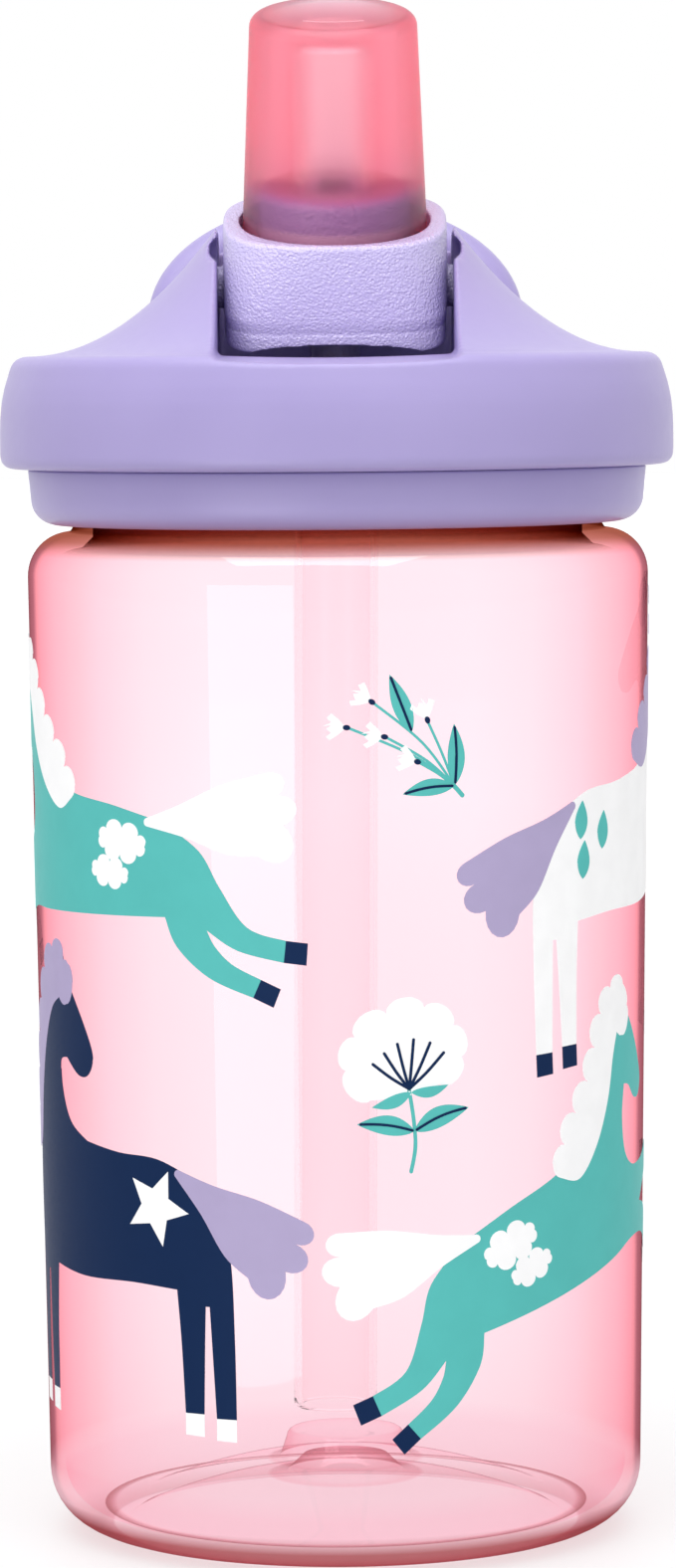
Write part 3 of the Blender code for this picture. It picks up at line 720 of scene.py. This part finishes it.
def build_collar(look):
    edge, skirt_edge, small = mm(0.5, 3, 0.3)
    profile = [
        (0, DECK_TOP),
        *fillet(COLLAR_PLUG - edge, DECK_TOP - edge, edge, 90, 0, 4),
        (COLLAR_PLUG, COLLAR_LEDGE),
        *fillet(COLLAR_RADIUS - small, COLLAR_LEDGE - small, small, 90, 0, 3),
        *fillet(COLLAR_RADIUS - small - skirt_edge, COLLAR_BOTTOM + skirt_edge, skirt_edge, 0, -90, 10),
        *fillet(COLLAR_BORE + small, COLLAR_BOTTOM + small, small, 270, 180, 3),
        *[(COLLAR_BORE, z) for z in spaced(COLLAR_BOTTOM + 0.5 * MM, DECK_BOTTOM, 48)],
        (0, DECK_BOTTOM),
    ]
    ridge = thread_ridge(LID_THREAD_Z)

    def shift(radius, height, angle):
        inside = abs(radius - COLLAR_BORE) < 1e-6 and height > COLLAR_BOTTOM + 0.4 * MM
        return -ridge(height, angle) if inside and height < DECK_BOTTOM - 0.1 * MM else 0

    collar = revolve("threaded_cap", profile, 192, shift=shift)
    middle = (DECK_TOP + DECK_BOTTOM) / 2
    vent = sum(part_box("vent_valve"), Vector()) / 2  # the middle of its box
    combine(collar, [
        cylinder("nipple", NIPPLE_RADIUS, (0, PORT_Y, NIPPLE_BOTTOM), (0, PORT_Y, middle)),
        cylinder("boss", BOSS_RADIUS, (0, PORT_Y, middle), (0, PORT_Y, SEAL_BOTTOM - 0.3 * MM)),
    ], "UNION")
    combine(collar, [
        cylinder("bore", PORT_BORE, (0, PORT_Y, NIPPLE_BOTTOM - 5 * MM), (0, PORT_Y, RIM_Z + 9 * MM)),
        cylinder("vent_hole", VENT_BORE, (vent.x, vent.y, NIPPLE_BOTTOM), (vent.x, vent.y, RIM_Z)),
    ], "DIFFERENCE")
    return dress(collar, look, "lid", "lid_collar", slot="lid_plastic", sharp=50)


def bell(radius):
    """Height of the bell's concave side."""
    return RIM_Z + BELL_RISE * max(0, BELL_FOOT - radius / MM) ** 2 * MM


def scoop_outline():
    """The dip in the ring's top in front of the spout, and all above it."""
    radius = (CHANNEL ** 2 + SCOOP_DEPTH ** 2) / (2 * SCOOP_DEPTH)
    top = bell(CROWN_RADIUS) + 4 * MM
    base = RIM_Z - SCOOP_DEPTH + radius
    dip = [(x, base - sqrt(radius ** 2 - x ** 2)) for x in spaced(-CHANNEL, CHANNEL, 40)]
    return dip + [(CHANNEL, top), (-CHANNEL, top)]


def loop_points():
    """The middle of the carry loop's bar, which leans back."""
    arch = arc((0, LOOP_SHOULDER), (LOOP_HALF_WIDTH, LOOP_RISE), 0, 180, 48)
    legs = [(LOOP_HALF_WIDTH, z) for z in spaced(LOOP_FOOT, LOOP_SHOULDER - 0.2 * MM, 6)]
    line = legs + arch + [(-x, z) for x, z in reversed(legs)]
    return [(x, LOOP_BACK + (z - RIM_Z) * LOOP_LEAN, z) for x, z in line]


def build_shell(look):
    crown = bell(CROWN_RADIUS)
    bore = COLLAR_PLUG + 0.4 * MM
    profile = [(0, crown)]
    profile += [(r, bell(r)) for r in spaced(CROWN_RADIUS, BELL_FOOT * MM, 60)]
    profile += fillet(RING_RADIUS - 3.2 * MM, RIM_Z - 2 * MM, 2 * MM, 90, 14, 8)
    profile += [(RING_RADIUS - inset * MM, RIM_Z - drop * MM) for inset, drop in RING_BULGE]
    profile += fillet(RING_RADIUS - RING_EDGE, RING_BOTTOM + RING_EDGE, RING_EDGE, 0, -90, 7)
    profile += [(bore, RING_BOTTOM), (bore, SHELL_INSIDE), (0, SHELL_INSIDE)]
    shell = revolve("lid_cover", profile, 192)
    reach = bore - 2 * MM
    hollow_side = [(r, bell(r) - BELL_WALL) for r in spaced(CROWN_RADIUS, reach, 40)]
    under = SHELL_INSIDE - 5 * MM
    hollow = revolve(
        "hollow", [(0, crown - BELL_WALL), *hollow_side, (reach, under), (0, under)], 128
    )
    side = CHANNEL + CHANNEL_WALL
    high = crown + 5 * MM
    block = box("block", (-side, -50 * MM, under - 5 * MM), (side, POCKET_BACK + CHANNEL_WALL, high))
    combine(hollow, [block], "DIFFERENCE")
    combine(shell, [tube("carry_bar", loop_points(), LOOP_BAR)], "UNION")
    # The dip falls to the front, and its far end lies beyond the ring.
    ramp = prism("scoop", scoop_outline(), -RING_RADIUS, POCKET_FRONT + MM)
    for vert in ramp.data.vertices:
        if vert.co.y < -RING_RADIUS / 2:
            vert.co.z -= SCOOP_FALL * 1.25
            vert.co.y -= (RING_RADIUS + POCKET_FRONT) * 0.25
    pin_end = side + MM
    notch_back = HINGE.y + 2.4 * MM
    combine(shell, [
        hollow,
        ramp,
        box("pocket", (-CHANNEL, POCKET_FRONT, POCKET_FLOOR), (CHANNEL, POCKET_BACK, high)),
        cylinder("holes", PIN_HOLE, (-pin_end, HINGE.y, HINGE.z), (pin_end, HINGE.y, HINGE.z)),
        cylinder("port", PORT_HOLE, (0, PORT_Y, under), (0, PORT_Y, POCKET_FLOOR + 5 * MM)),
        *[
            box("notch", (x - NOTCH, -30 * MM, NOTCH_LOW), (x + NOTCH, notch_back, NOTCH_HIGH))
            for x in (-CHANNEL, CHANNEL)
        ],
    ], "DIFFERENCE")
    soften(shell, 0.4 * MM)
    return dress(shell, look, "lid", "lid_shell", slot="lid_plastic")


# == Spout


def build_arm(look):
    # The skirt as (height, inset in mm), with a rounded foot and a fine crease
    foot = fillet(0, ARM_BOTTOM + 0.6 * MM, 0.6 * MM, -90, 0, 6)
    skirt = [(u, 0.7 - reach / MM) for reach, u in foot]
    skirt += [(ARM_EDGE - 0.2 * MM, 0.12), (ARM_EDGE, 0.36), (ARM_EDGE + 0.2 * MM, 0.16)]
    skirt += [(ARM_EDGE + 0.7 * MM, 0.08), (ARM_EDGE + 1.4 * MM, 0)]
    sections = [(u, ARM_HALF[0] - t * MM, ARM_HALF[1] - t * MM, 0) for u, t in skirt]
    sections += rounded(0, ARM_LIP, ARM_HALF, 0, 0, 0.45 * MM)[6:]
    # The plan is squarer at the foot than at the lip.
    squarer = FOOT_SQUARENESS - LIP_SQUARENESS
    sections = [
        (u, x, y, LIP_SQUARENESS + squarer * min(1, max(0, 1 - u / ARM_LIP)))
        for u, x, y, _ in sections
    ]
    arm = loft("spout_holder", sections, steps=128)
    deep = -8 * MM
    combine(arm, [
        loft("undercut", [(u, *UNDERCUT, LIP_SQUARENESS) for u in (deep, WEB_BOTTOM)]),
        box("rear", (-20 * MM, 4 * MM, deep), (20 * MM, 20 * MM, MM)),
    ], "DIFFERENCE")
    arch = cylinder("arch", 1, (0, -15 * MM, 0), (0, -5 * MM, 0))
    arch.data.transform(
        Matrix.Translation((0, 0, ARM_BOTTOM)) @ Matrix.Diagonal((ARCH[0], 1, ARCH[1], 1))
    )
    combine(arm, [arch], "DIFFERENCE")
    combine(arm, [
        cylinder("drum", DRUM_RADIUS, (-DRUM_END, 0, 0), (DRUM_END, 0, 0), segments=96),
        cylinder("hub", HUB_RADIUS, (-HUB_END, 0, 0), (HUB_END, 0, 0)),
        cylinder("pins", PIN_RADIUS, (-PIN_END, 0, 0), (PIN_END, 0, 0)),
    ], "UNION")
    cup = loft("cup", [(CUP_FLOOR, *CUP_HALF, 2.2), (20 * MM, *CUP_HALF, 2.2)])
    combine(arm, [cup], "DIFFERENCE")
    plug = rounded(CUP_FLOOR - 1.2 * MM, PLUG_TOP, PLUG_HALF, 2, 0.1 * MM, 1.2 * MM)
    combine(arm, [loft("plug", plug)], "UNION")
    combine(arm, [
        cylinder("bore", SPOUT_BORE, (0, 0, 0), (0, 0, 20 * MM)),
        cylinder("port", DRUM_PORT, (0, 0, 0.4 * MM), mm(0, 6.5, -8.9)),
    ], "DIFFERENCE")
    soften(arm, 0.19 * MM, 2)
    arm.data.transform(SPOUT_FRAME)
    return dress(arm, look, "spout", "spout_arm", slot="spout_plastic")


def build_valve(look):
    low = CUP_FLOOR + 0.3 * MM
    sections = rounded(low, VALVE_TOP, VALVE_BASE, 2, 0.5 * MM, 1.5 * MM, 8, taper=VALVE_CROWN)
    last = sections[-1]
    for share in (0.93, 0.85, 0.7, 0.5, 0.25, 0.05):
        sink = VALVE_DISH * cos(pi / 2 * share) ** 0.6
        sections.append((last[0] - sink, last[1] * share, last[2] * share, 2))
    valve = loft("mouthpiece", sections, steps=160)
    combine(valve, [
        loft("channel", rounded(PLUG_TOP - MM, 30 * MM, VALVE_CHANNEL, 2.6, 0.1 * MM, MM)),
        box("slit", mm(-3.5, -0.2, 29), mm(3.5, 0.2, 40)),
    ], "DIFFERENCE")
    valve.data.transform(SPOUT_FRAME)
    return dress(valve, look, "spout", "bite_valve", slot="valve_silicone", sharp=40)


# == Print

INK_LIFT = 0.03 * MM
INK_THICKNESS = 0.06 * MM
PRINT_RADIUS = 36
STRIP_WIDTH = 1.5


def curve(*points, steps=7):
    """A smooth line through the points, both ends included."""
    padded = [points[0], *points, points[-1]]
    line = []
    for a, b, c, d in zip(padded, padded[1:], padded[2:], padded[3:]):
        for i in range(steps):
            t = i / steps
            line.append(tuple(
                q + t * ((r - p) + t * ((2 * p - 5 * q + 4 * r - s) + t * (3 * (q - r) + s - p))) / 2
                for p, q, r, s in zip(a, b, c, d)
            ))
    return line + [points[-1]]


def beside(base, tip, places):
    """Places given as shares of base to tip: (along it, out to its left)."""
    (x0, y0), (x1, y1) = base, tip
    dx, dy = x1 - x0, y1 - y0
    return [(x0 + dx * along - dy * out, y0 + dy * along + dx * out) for along, out in places]


def lobes(*points, bulge=0.5, steps=9):
    """Rounded lobes from each point to the next, swelling to the left of the way."""
    angles = [pi * i / steps for i in range(steps)]
    swell = [((1 - cos(angle)) / 2, sin(angle) * bulge) for angle in angles]
    line = []
    for start, end in zip(points, points[1:]):
        line += beside(start, end, swell)
    return line + [points[-1]]


def outline(*runs):
    """One closed outline from runs that start where the one before ends."""
    points = []
    for point in (p for run in runs for p in run):
        if not points or dist(point, points[-1]) > 0.02:
            points.append(point)
    if dist(points[0], points[-1]) <= 0.02:
        points.pop()
    return points


def ribbon(line, width):
    """A stroke of even width with round ends."""
    left, right = [], []
    for i, (x, y) in enumerate(line):
        before, after = line[max(i - 1, 0)], line[min(i + 1, len(line) - 1)]
        length = dist(before, after)
        nx, ny = -(after[1] - before[1]) / length, (after[0] - before[0]) / length
        left.append((x + nx * width / 2, y + ny * width / 2))
        right.append((x - nx * width / 2, y - ny * width / 2))
    return outline(left, lobes(left[-1], right[-1]), right[::-1], lobes(right[0], left[0]))


def leaf(base, tip, width, bend=0):
    """A pointed leaf. bend curves its midline to the left, as a share of its length."""
    left, right = (
        beside(base, tip, [
            (t, bend * sin(pi * t) + half * sin(pi * t ** 0.85) ** 0.9) for t in spaced(0, 1, 14)
        ])
        for half in (width / 2, -width / 2)
    )
    return outline(left, right[::-1])


def ribbed_leaf(base, tip, width, bend):
    """Pieces of a teal leaf with a navy midrib."""
    shares = [0.04 + 0.9 * i / 8 for i in range(9)]
    midrib = beside(base, tip, [(t, bend * sin(pi * t)) for t in shares])
    return [("teal", 1, leaf(base, tip, width, bend)), ("navy", 2, ribbon(midrib, 0.3))]


def ellipse(centre, half_x, half_y, steps):
    angles = [TURN * k / steps for k in range(steps)]
    return [(centre[0] + half_x * cos(a), centre[1] + half_y * sin(a)) for a in angles]


def cloud(half_x, half_y):
    ring = ellipse((0, 0), half_x, -half_y, 8)
    return outline(lobes(*ring, ring[0], bulge=0.42))


def star(centre, reach, turn_deg):
    points = []
    for k in range(10):
        angle = radians(turn_deg + 36 * k)
        radius = reach * 0.46 if k % 2 else reach
        points.append((centre[0] + radius * cos(angle), centre[1] + radius * sin(angle)))
    return points


def tail(place, turn_deg):
    """Hangs from its root at the place, and points to -X before the turn."""
    shape = outline(
        curve((1.4, 0.5), (-3, 1.7), (-8.5, 3.6), (-14, 4.6)),
        lobes((-14, 4.6), (-14.6, 1.9), (-15.4, -1.4), (-12.2, -4.6), bulge=-0.62),
        curve((-12.2, -4.6), (-8.5, -4.2), (-3.5, -2), (1.4, -0.5)),
        lobes((1.4, -0.5), (1.4, 0.5), bulge=-0.5),
    )
    return moved(shape, place, turn_deg)


def mane(points, inner, bulge=-0.42):
    return outline(lobes(*points, bulge=bulge), curve(*inner))


def hoof(inner, outer, length):
    """A block past the end of a leg, whose two corners are given."""
    (x0, y0), (x1, y1) = inner, outer
    width = dist(inner, outer)
    nx, ny = (y1 - y0) / width * length, -(x1 - x0) / width * length
    return "hoof", 0, [inner, outer, (x1 + nx * 1.04, y1 + ny * 1.04), (x0 + nx, y0 + ny)]


def leaping_pony():
    """Leaps to the right, in mm from the root of its tail: (ink, layer, outline)."""
    back = curve((0, 0), (6.6, 3.7), (13.5, 6.9), (18.4, 10.4), (21.2, 15.6), (22.6, 21), (24.4, 25))
    ear = [(24.4, 25), (25.3, 28.8), (27.3, 25.4)]
    face = curve(
        (27.3, 25.4), (30.2, 22.3), (33, 18.5), (34.3, 15.8), (33.3, 13.9), (31.2, 13.9),
        (29.2, 15.5), (27.7, 15.8),
    )
    chest = curve((27.7, 15.8), (27.2, 12), (28.2, 7.9), (31, 6), (35.5, 6.2), (41, 7.4), (47, 6.6))
    near_fore = curve((46.4, 4.2), (41.4, 4.5), (37.5, 3.2), (34.8, 1.2))
    far_fore = curve((34.8, 1.2), (38.6, 0.2), (42.4, -2.6), (45, -6.2))
    belly = curve(
        (43, -7.5), (40, -4.4), (35.6, -2.6), (30.5, -2.7), (24.6, -4.4), (12, -7.9), (3, -10.4)
    )
    thigh = curve((3, -10.4), (2.5, -14), (-0.4, -18.4), (-4.9, -22))
    near_hind = curve((-6.4, -20.3), (-3.6, -17.7), (-2.2, -15.2), (-1.8, -13.2))
    far_hind = curve((-1.8, -13.2), (-4.7, -16.4), (-9.5, -19.2))
    rump = curve((-10.5, -16.9), (-6.6, -14.2), (-4.8, -9), (-3.6, -4.4), (0, 0))
    body = outline(
        back, ear, face, chest, near_fore, far_fore, belly, thigh, near_hind, far_hind, rump
    )
    neck = [
        (27, 27.4), (23.6, 27.4), (21.4, 24.6), (20.2, 20.8), (18.8, 17), (16.6, 13.6), (14.6, 10.2),
        (14, 6.4),
    ]
    inside = [(14, 6.4), (17.4, 6), (20.8, 9.6), (23.2, 14.6), (24.4, 19.6), (26, 24), (27, 27.4)]
    return [
        ("coat", 0, body),
        ("hair", 1, mane(neck, inside)),
        ("hair", 1, outline(lobes((25.2, 27.6), (28.2, 25), (26.8, 21.6), (25.2, 27.6), bulge=0.3))),
        ("hair", 1, tail((0.6, 0.2), 12)),
        hoof((-10.5, -16.9), (-9.5, -19.2), 2.5),
        hoof((-6.4, -20.3), (-4.9, -22), 2.5),
        hoof((43, -7.5), (45, -6.2), -2.5),
        hoof((46.4, 4.2), (47, 6.6), -2.5),
        ("mark", 1, moved(cloud(3.6, 1.5), (6.6, -0.6), 24)),
        ("mark", 1, moved(cloud(3, 1.1), (9.6, -3.4), 24)),
    ]


def standing_pony(looks_back):
    """Stands facing right, in mm from the root of its tail: (ink, layer, outline)."""
    back = curve((0, 0), (5, 1.9), (11, 2.2), (17, 2.9))
    if looks_back:
        top = outline(
            curve((17, 2.9), (20.8, 4.8), (22.8, 8.2), (23.1, 11.6), (21.4, 12.2)),
            curve((21.4, 12.2), (18.6, 10.4), (16.4, 10.6), (15.4, 12.8), (17.2, 16.4), (21, 21.4)),
            [(21, 21.4), (22.4, 25.2), (24, 21.8)],
            curve((24, 21.8), (28.4, 19.2), (31.2, 13.4), (33, 6.4), (34.6, -2), (34.4, -8)),
        )
    else:
        top = outline(
            curve((17, 2.9), (22.6, 4.6), (27, 8.6), (30.2, 14.4), (32.8, 20)),
            [(32.8, 20), (33.6, 24), (35.9, 20.8)],
            curve((35.9, 20.8), (39.4, 17.6), (42.4, 13.6), (43.7, 10.9), (42.6, 9.2), (40.4, 9.3),
                  (38, 10.9), (36.4, 10.9)),
            curve((36.4, 10.9), (35.5, 6.4), (35.3, 0.4), (34.4, -8)),
        )
    body = outline(
        back, top,
        curve((34.4, -8), (33.6, -15), (33.2, -27)),
        curve((30.7, -27), (30.5, -20), (30.1, -13.6)),
        curve((29.6, -13.6), (29.4, -20), (29, -27.4)),
        curve((26.5, -27.4), (26.2, -19), (25.6, -12.4)),
        curve((25.6, -12.4), (18, -12.9), (9, -12.6), (2.4, -12.9)),
        curve((2.4, -12.9), (1.9, -19), (1.5, -27)),
        curve((-1, -27), (-1.2, -20), (-1.4, -14.6)),
        curve((-1.9, -14.6), (-2.2, -20), (-2.6, -27.4)),
        curve((-5.1, -27.4), (-5, -18), (-4.6, -9), (-3.1, -3.6), (0, 0)),
    )
    if looks_back:
        neck = [(21.8, 24.2), (25.2, 24.6), (28.2, 21.8), (30.4, 18), (32.4, 14), (33.8, 9.6), (35, 5),
                (35.2, 0)]
        inside = [(35.2, 0), (32.6, 1.4), (31, 7), (28.6, 13), (25.6, 17.6), (22, 20), (21.8, 24.2)]
        hair = mane(neck, inside, 0.42)
        lock = outline(lobes((20.6, 23.2), (23.6, 21.4), (21.2, 18.4), (20.6, 23.2), bulge=0.3))
    else:
        neck = [(35.4, 23.2), (31.8, 22.8), (29.6, 19.6), (27.6, 16), (25.2, 12.6), (22, 9.8), (18.6, 7.4),
                (16.4, 4)]
        inside = [(16.4, 4), (20.6, 2.8), (26, 5.8), (30, 10.6), (32.6, 15.4), (34.6, 19.2), (35.4, 23.2)]
        hair = mane(neck, inside)
        lock = outline(lobes((34.2, 23.4), (37, 20.6), (35.4, 17.6), (34.2, 23.4), bulge=0.3))
    return [
        ("coat", 0, body), ("hair", 1, hair), ("hair", 1, lock), ("hair", 1, tail((0.8, -0.4), 34)),
        hoof((1.5, -27), (-1, -27), -2.5), hoof((-2.6, -27.4), (-5.1, -27.4), -2.5),
        hoof((33.2, -27), (30.7, -27), -2.5), hoof((29, -27.4), (26.5, -27.4), -2.5),
    ]


def moved(points, place, turn_deg, flip=False):
    c, s = cos(radians(turn_deg)), sin(radians(turn_deg))
    side = -1 if flip else 1
    return [(place[0] + side * (x * c - y * s), place[1] + x * s + y * c) for x, y in points]


def bell_flower(place, turn_deg):
    """A small cup of five pointed petals, opening to +X, with the dark dot at its foot."""
    teeth = [(2.35, 1.15), (1.75, 0.7), (2.35, 0.25), (1.75, -0.2), (2.75, 0), (1.75, -0.5), (2.35, -0.9)]
    cup = outline(
        curve((0.2, 0), (0.9, 0.75), (1.9, 1.5)), teeth, curve((1.9, -1.5), (0.9, -0.75), (0.2, 0))
    )
    return [
        ("white", 0, moved(cup, place, turn_deg)),
        ("navy", 1, moved(ellipse((0.1, 0), 0.42, 0.32, 12), place, turn_deg)),
    ]


def sprig():
    """Leaves and five bell flowers on curved stems, in mm from the foot of the stem."""
    foot, fork = (0.9, -1), (0, 0)
    bells = [
        ((-9.4, 9.7), 150), ((-12.2, 6.9), 176), ((-8, 5.8), 172), ((-3.2, 7.5), 108),
        ((-4.3, 2.9), 165),
    ]
    pieces = [("teal", 0, ribbon(curve(foot, fork, (-0.6, 0.6)), 0.55))]
    for (x, y), _ in bells:
        stem = ribbon(curve(fork, (x * 0.36 - 0.4, y * 0.52), (x, y)), 0.32)
        pieces.append(("teal", 0, stem))
    pieces += ribbed_leaf((0, 0.2), (-0.1, 7.1), 0.3, -0.03)
    pieces += ribbed_leaf((-5, 6.3), (-7.5, 12.8), 0.3, 0)
    pieces += ribbed_leaf((-0.1, 0.1), (-6.1, -0.7), 0.32, -0.05)
    for place, turn in bells:
        pieces += [(ink, layer + 1, shape) for ink, layer, shape in bell_flower(place, turn)]
    return pieces


def big_flower():
    """A fan of round petals over two pairs of leaves, in mm from the petals' foot."""
    petals = lobes(
        (-4.4, -1), (-7.2, 2.4), (-6.2, 6.2), (-2.6, 8.8), (1.8, 9.4), (5.2, 7.2), (6.2, 3.6),
        (3.6, 0.6), bulge=0.34,
    )
    head = outline(petals, curve((3.6, 0.6), (0.6, -0.4), (-1.8, -0.8), (-4.4, -1)))
    pieces = [("white", 0, head)]
    for k, length in enumerate((5, 4.9, 5.2, 5.5, 5.6, 5.6)):
        angle = radians(146 - 20.5 * k)
        tip = (length * cos(angle), length * sin(angle) + 0.3)
        pieces.append(("navy", 1, ribbon(curve((0, 0.2), (tip[0] * 0.5, tip[1] * 0.48), tip), 0.34)))
    stem = ribbon(curve((0, 0), (0.5, -3.2), (0.7, -6.4), (0.2, -9.2)), 0.45)
    pieces.append(("teal", 0, stem))
    pieces.append(("teal", 2, leaf((0.2, -0.2), (-4.3, -1.8), 0.3, 0.06)))
    pieces.append(("teal", 2, leaf((0.2, -0.2), (4.6, 0.5), 0.28, -0.08)))
    pieces += ribbed_leaf((0.6, -4.6), (-6, -3.7), 0.34, -0.05)
    pieces += ribbed_leaf((0.6, -4.6), (7.1, -2.2), 0.34, 0.06)
    return pieces


def wrap(point, lift):
    """From (mm round the body from the front, mm up) to a place on the body's side."""
    around, height = point
    angle, radius = around / PRINT_RADIUS, body_radius(height * MM) + lift
    return (radius * sin(angle), -radius * cos(angle), height * MM)


def ink_mesh(name, shapes):
    """Thin closed shells on the body's side, one for each (layer, outline)."""
    verts, faces = [], []
    for layer, points in shapes:
        bm = bmesh.new()
        ring = [bm.verts.new((x, z, 0)) for x, z in points]
        edges = [bm.edges.new((a, b)) for a, b in zip(ring, ring[1:] + ring[:1])]
        bmesh.ops.triangle_fill(bm, use_beauty=True, use_dissolve=False, edges=edges)
        low = min(x for x, _ in points)
        high = max(x for x, _ in points)
        for k in range(ceil(low / STRIP_WIDTH), floor(high / STRIP_WIDTH) + 1):
            bmesh.ops.bisect_plane(
                bm, geom=bm.verts[:] + bm.edges[:] + bm.faces[:], dist=1e-5,
                plane_co=(k * STRIP_WIDTH, 0, 0), plane_no=(1, 0, 0),
            )
        bm.verts.index_update()
        count = len(bm.verts)
        under = INK_LIFT + layer * (INK_THICKNESS + 0.01 * MM)
        start = len(verts)
        for lift in (under, under + INK_THICKNESS):
            verts += [wrap(v.co.xy, lift) for v in bm.verts]
        for face in bm.faces:
            corners = [start + v.index for v in face.verts]
            faces.append(corners[::-1])
            faces.append([corner + count for corner in corners])
        for edge in bm.edges:
            if edge.is_boundary:
                a, b = (start + v.index for v in edge.verts)
                faces.append((a, b, b + count, a + count))
        bm.free()
    return new_piece(name, verts, faces)


def build_print(inks):
    """Every motif, placed by (mm round from the front, mm up)."""
    teal = {"coat": "teal", "hair": "white", "hoof": "navy", "mark": "white"}
    navy = {"coat": "navy", "hair": "lilac", "hoof": "white"}
    white = {"coat": "white", "hair": "lilac", "hoof": "navy"}
    flank_star = [("white", 1, star((5.2, -3.6), 4.6, 186))]
    leaf_feet = ((3.2, -3.6), (7.4, -5.2), (3.4, -8.2))
    leaves = [("teal", 1, leaf((x, y), (x + 0.6, y + 4.4), 0.5)) for x, y in leaf_feet]
    motifs = [
        ("pony_low_right", leaping_pony(), teal, (13.7, 37.8), 0, False),
        ("pony_high_left", leaping_pony(), teal, (-21.2, 85.8), -17, True),
        ("pony_low_left", standing_pony(True) + flank_star, navy, (-17.9, 45.3), 0, True),
        ("pony_high_right", standing_pony(False) + leaves, white, (27.5, 86.3), 3, False),
        ("sprig", sprig(), {}, (13.1, 89.8), 0, False),
        ("flower", big_flower(), {}, (7.6, 55.6), 0, False),
    ]
    for name, shapes, names, place, turn, flip in motifs:
        grouped = {}
        for ink_name, layer, points in shapes:
            shape = (layer, moved(points, place, turn, flip))
            grouped.setdefault(names.get(ink_name, ink_name), []).append(shape)
        for ink_name, parts in grouped.items():
            piece = ink_mesh(f"print_{name}_{ink_name}", parts)
            dress(piece, inks[ink_name], "bottle", slot="clear_body", sharp=30)


# == Studio

CAMERA_LENS = 131.8
CAMERA_PLACE = (-0.0002, -0.677, 0.138)
CAMERA_PITCH = radians(4.25)
CAMERA_ROLL = radians(-0.5)


def build_floor():
    """Reflects little, and glows so that it reads as white paper out to the horizon."""
    n = Nodes("pale_floor")
    reach = n.vector_maths("LENGTH", n.coordinates())
    far = n.stretch(reach, 0.05, 1.1)
    seen = n.maths("SUBTRACT", n.range(far, 0.55, 0.79), n.ray("Diffuse"))
    n.set(
        Base_Color=n.ramp(
            n.noise(4), [(0.3, (0.345, 0.345, 0.347)), (0.7, (0.355, 0.355, 0.357))]
        ),
        Roughness=0.6, Emission_Color=(1, 1, 1),
        Emission_Strength=n.maths("MAXIMUM", seen, 0.5),
    )
    ground = revolve("floor", [(0, -0.2 * MM), (6, -0.2 * MM)], 64)
    ground.data.materials.append(n.owner)


def area_light(name, place, target, size, power):
    light = bpy.data.lights.new(name, "AREA")
    light.shape = "RECTANGLE"
    light.size, light.size_y = size
    light.energy = power
    obj = placed(name, light)
    obj.location = place
    obj.rotation_mode = "QUATERNION"
    obj.rotation_quaternion = (Vector(target) - Vector(place)).to_track_quat("-Z", "Y")
    return obj


def build_light():
    n = Nodes("studio", bpy.data.worlds, "Background")
    n.set(Color=(1, 1, 1), Strength=n.range(n.ray("Diffuse"), 1, 0.62))
    SCENE.world = n.owner
    middle = (0, 0, 0.1)
    key = area_light("key_strip", (-0.7, -0.85, 0.4), middle, (0.5, 0.8), 2.3)
    fill = area_light("fill_strip", (0.8, -0.8, 0.4), middle, (0.5, 0.8), 1.5)
    area_light("top_soft", (-0.05, -0.25, 0.9), middle, (0.8, 0.8), 7)
    card = area_light("gloss_card", (-0.063, -0.1195, 0.058), (0, -0.028, 0.058), (0.068, 0.114), 0.04)
    area_light("sparkle", (-0.14, -0.44, 0.2), (0, -0.013, 0.146), (0.15, 0.15), 1.25)
    key.visible_glossy = fill.visible_glossy = False
    card.visible_diffuse = card.visible_transmission = card.visible_camera = False


def build_camera():
    camera = bpy.data.cameras.new("camera")
    camera.lens = CAMERA_LENS
    obj = placed("camera", camera)
    look = Matrix.Rotation(pi / 2 - CAMERA_PITCH, 4, "X") @ Matrix.Rotation(CAMERA_ROLL, 4, "Z")
    obj.matrix_world = Matrix.Translation(CAMERA_PLACE) @ look
    SCENE.camera = obj


def set_cycles():
    SCENE.view_settings.view_transform = "Standard"
    settings = {
        "use_denoising": True, "caustics_reflective": False, "caustics_refractive": False,
        "max_bounces": 24, "transmission_bounces": 24, "transparent_max_bounces": 24,
        "glossy_bounces": 8, "diffuse_bounces": 6, "sample_clamp_indirect": 6,
    }
    for name, value in settings.items():
        setattr(SCENE.cycles, name, value)


def keep_nodes(look, slot, *names):
    """CAD nodes whose shape is already right take a finished material."""
    for name in names:
        node = frame["nodes"][name]
        node.data.materials.clear()
        node.data.materials.append(look)


def main():
    set_cycles()
    build_camera()
    build_light()
    build_floor()
    lilac = lilac_plastic()
    build_body(clear_pink())
    build_straw(clear_straw())
    build_collar(lilac)
    build_shell(lilac)
    # This lamp lights the holder and nothing else.
    lit = bpy.data.collections.new("sparkle_lit")
    lit.objects.link(build_arm(textured_lilac()))
    bpy.data.objects["sparkle"].light_linking.receiver_collection = lit
    build_valve(pink_silicone())
    build_print({
        "teal": ink("teal_ink", (0.1, 0.48, 0.455)),
        "navy": ink("navy_ink", (0.008, 0.023, 0.075)),
        "white": ink("white_ink", (0.93, 0.93, 0.935)),
        "lilac": ink("lilac_ink", (0.415, 0.356, 0.555)),
    })
    keep_nodes(milky_silicone(), "seal_silicone", "lid_gasket", "spout_seal", "vent_valve")


main()
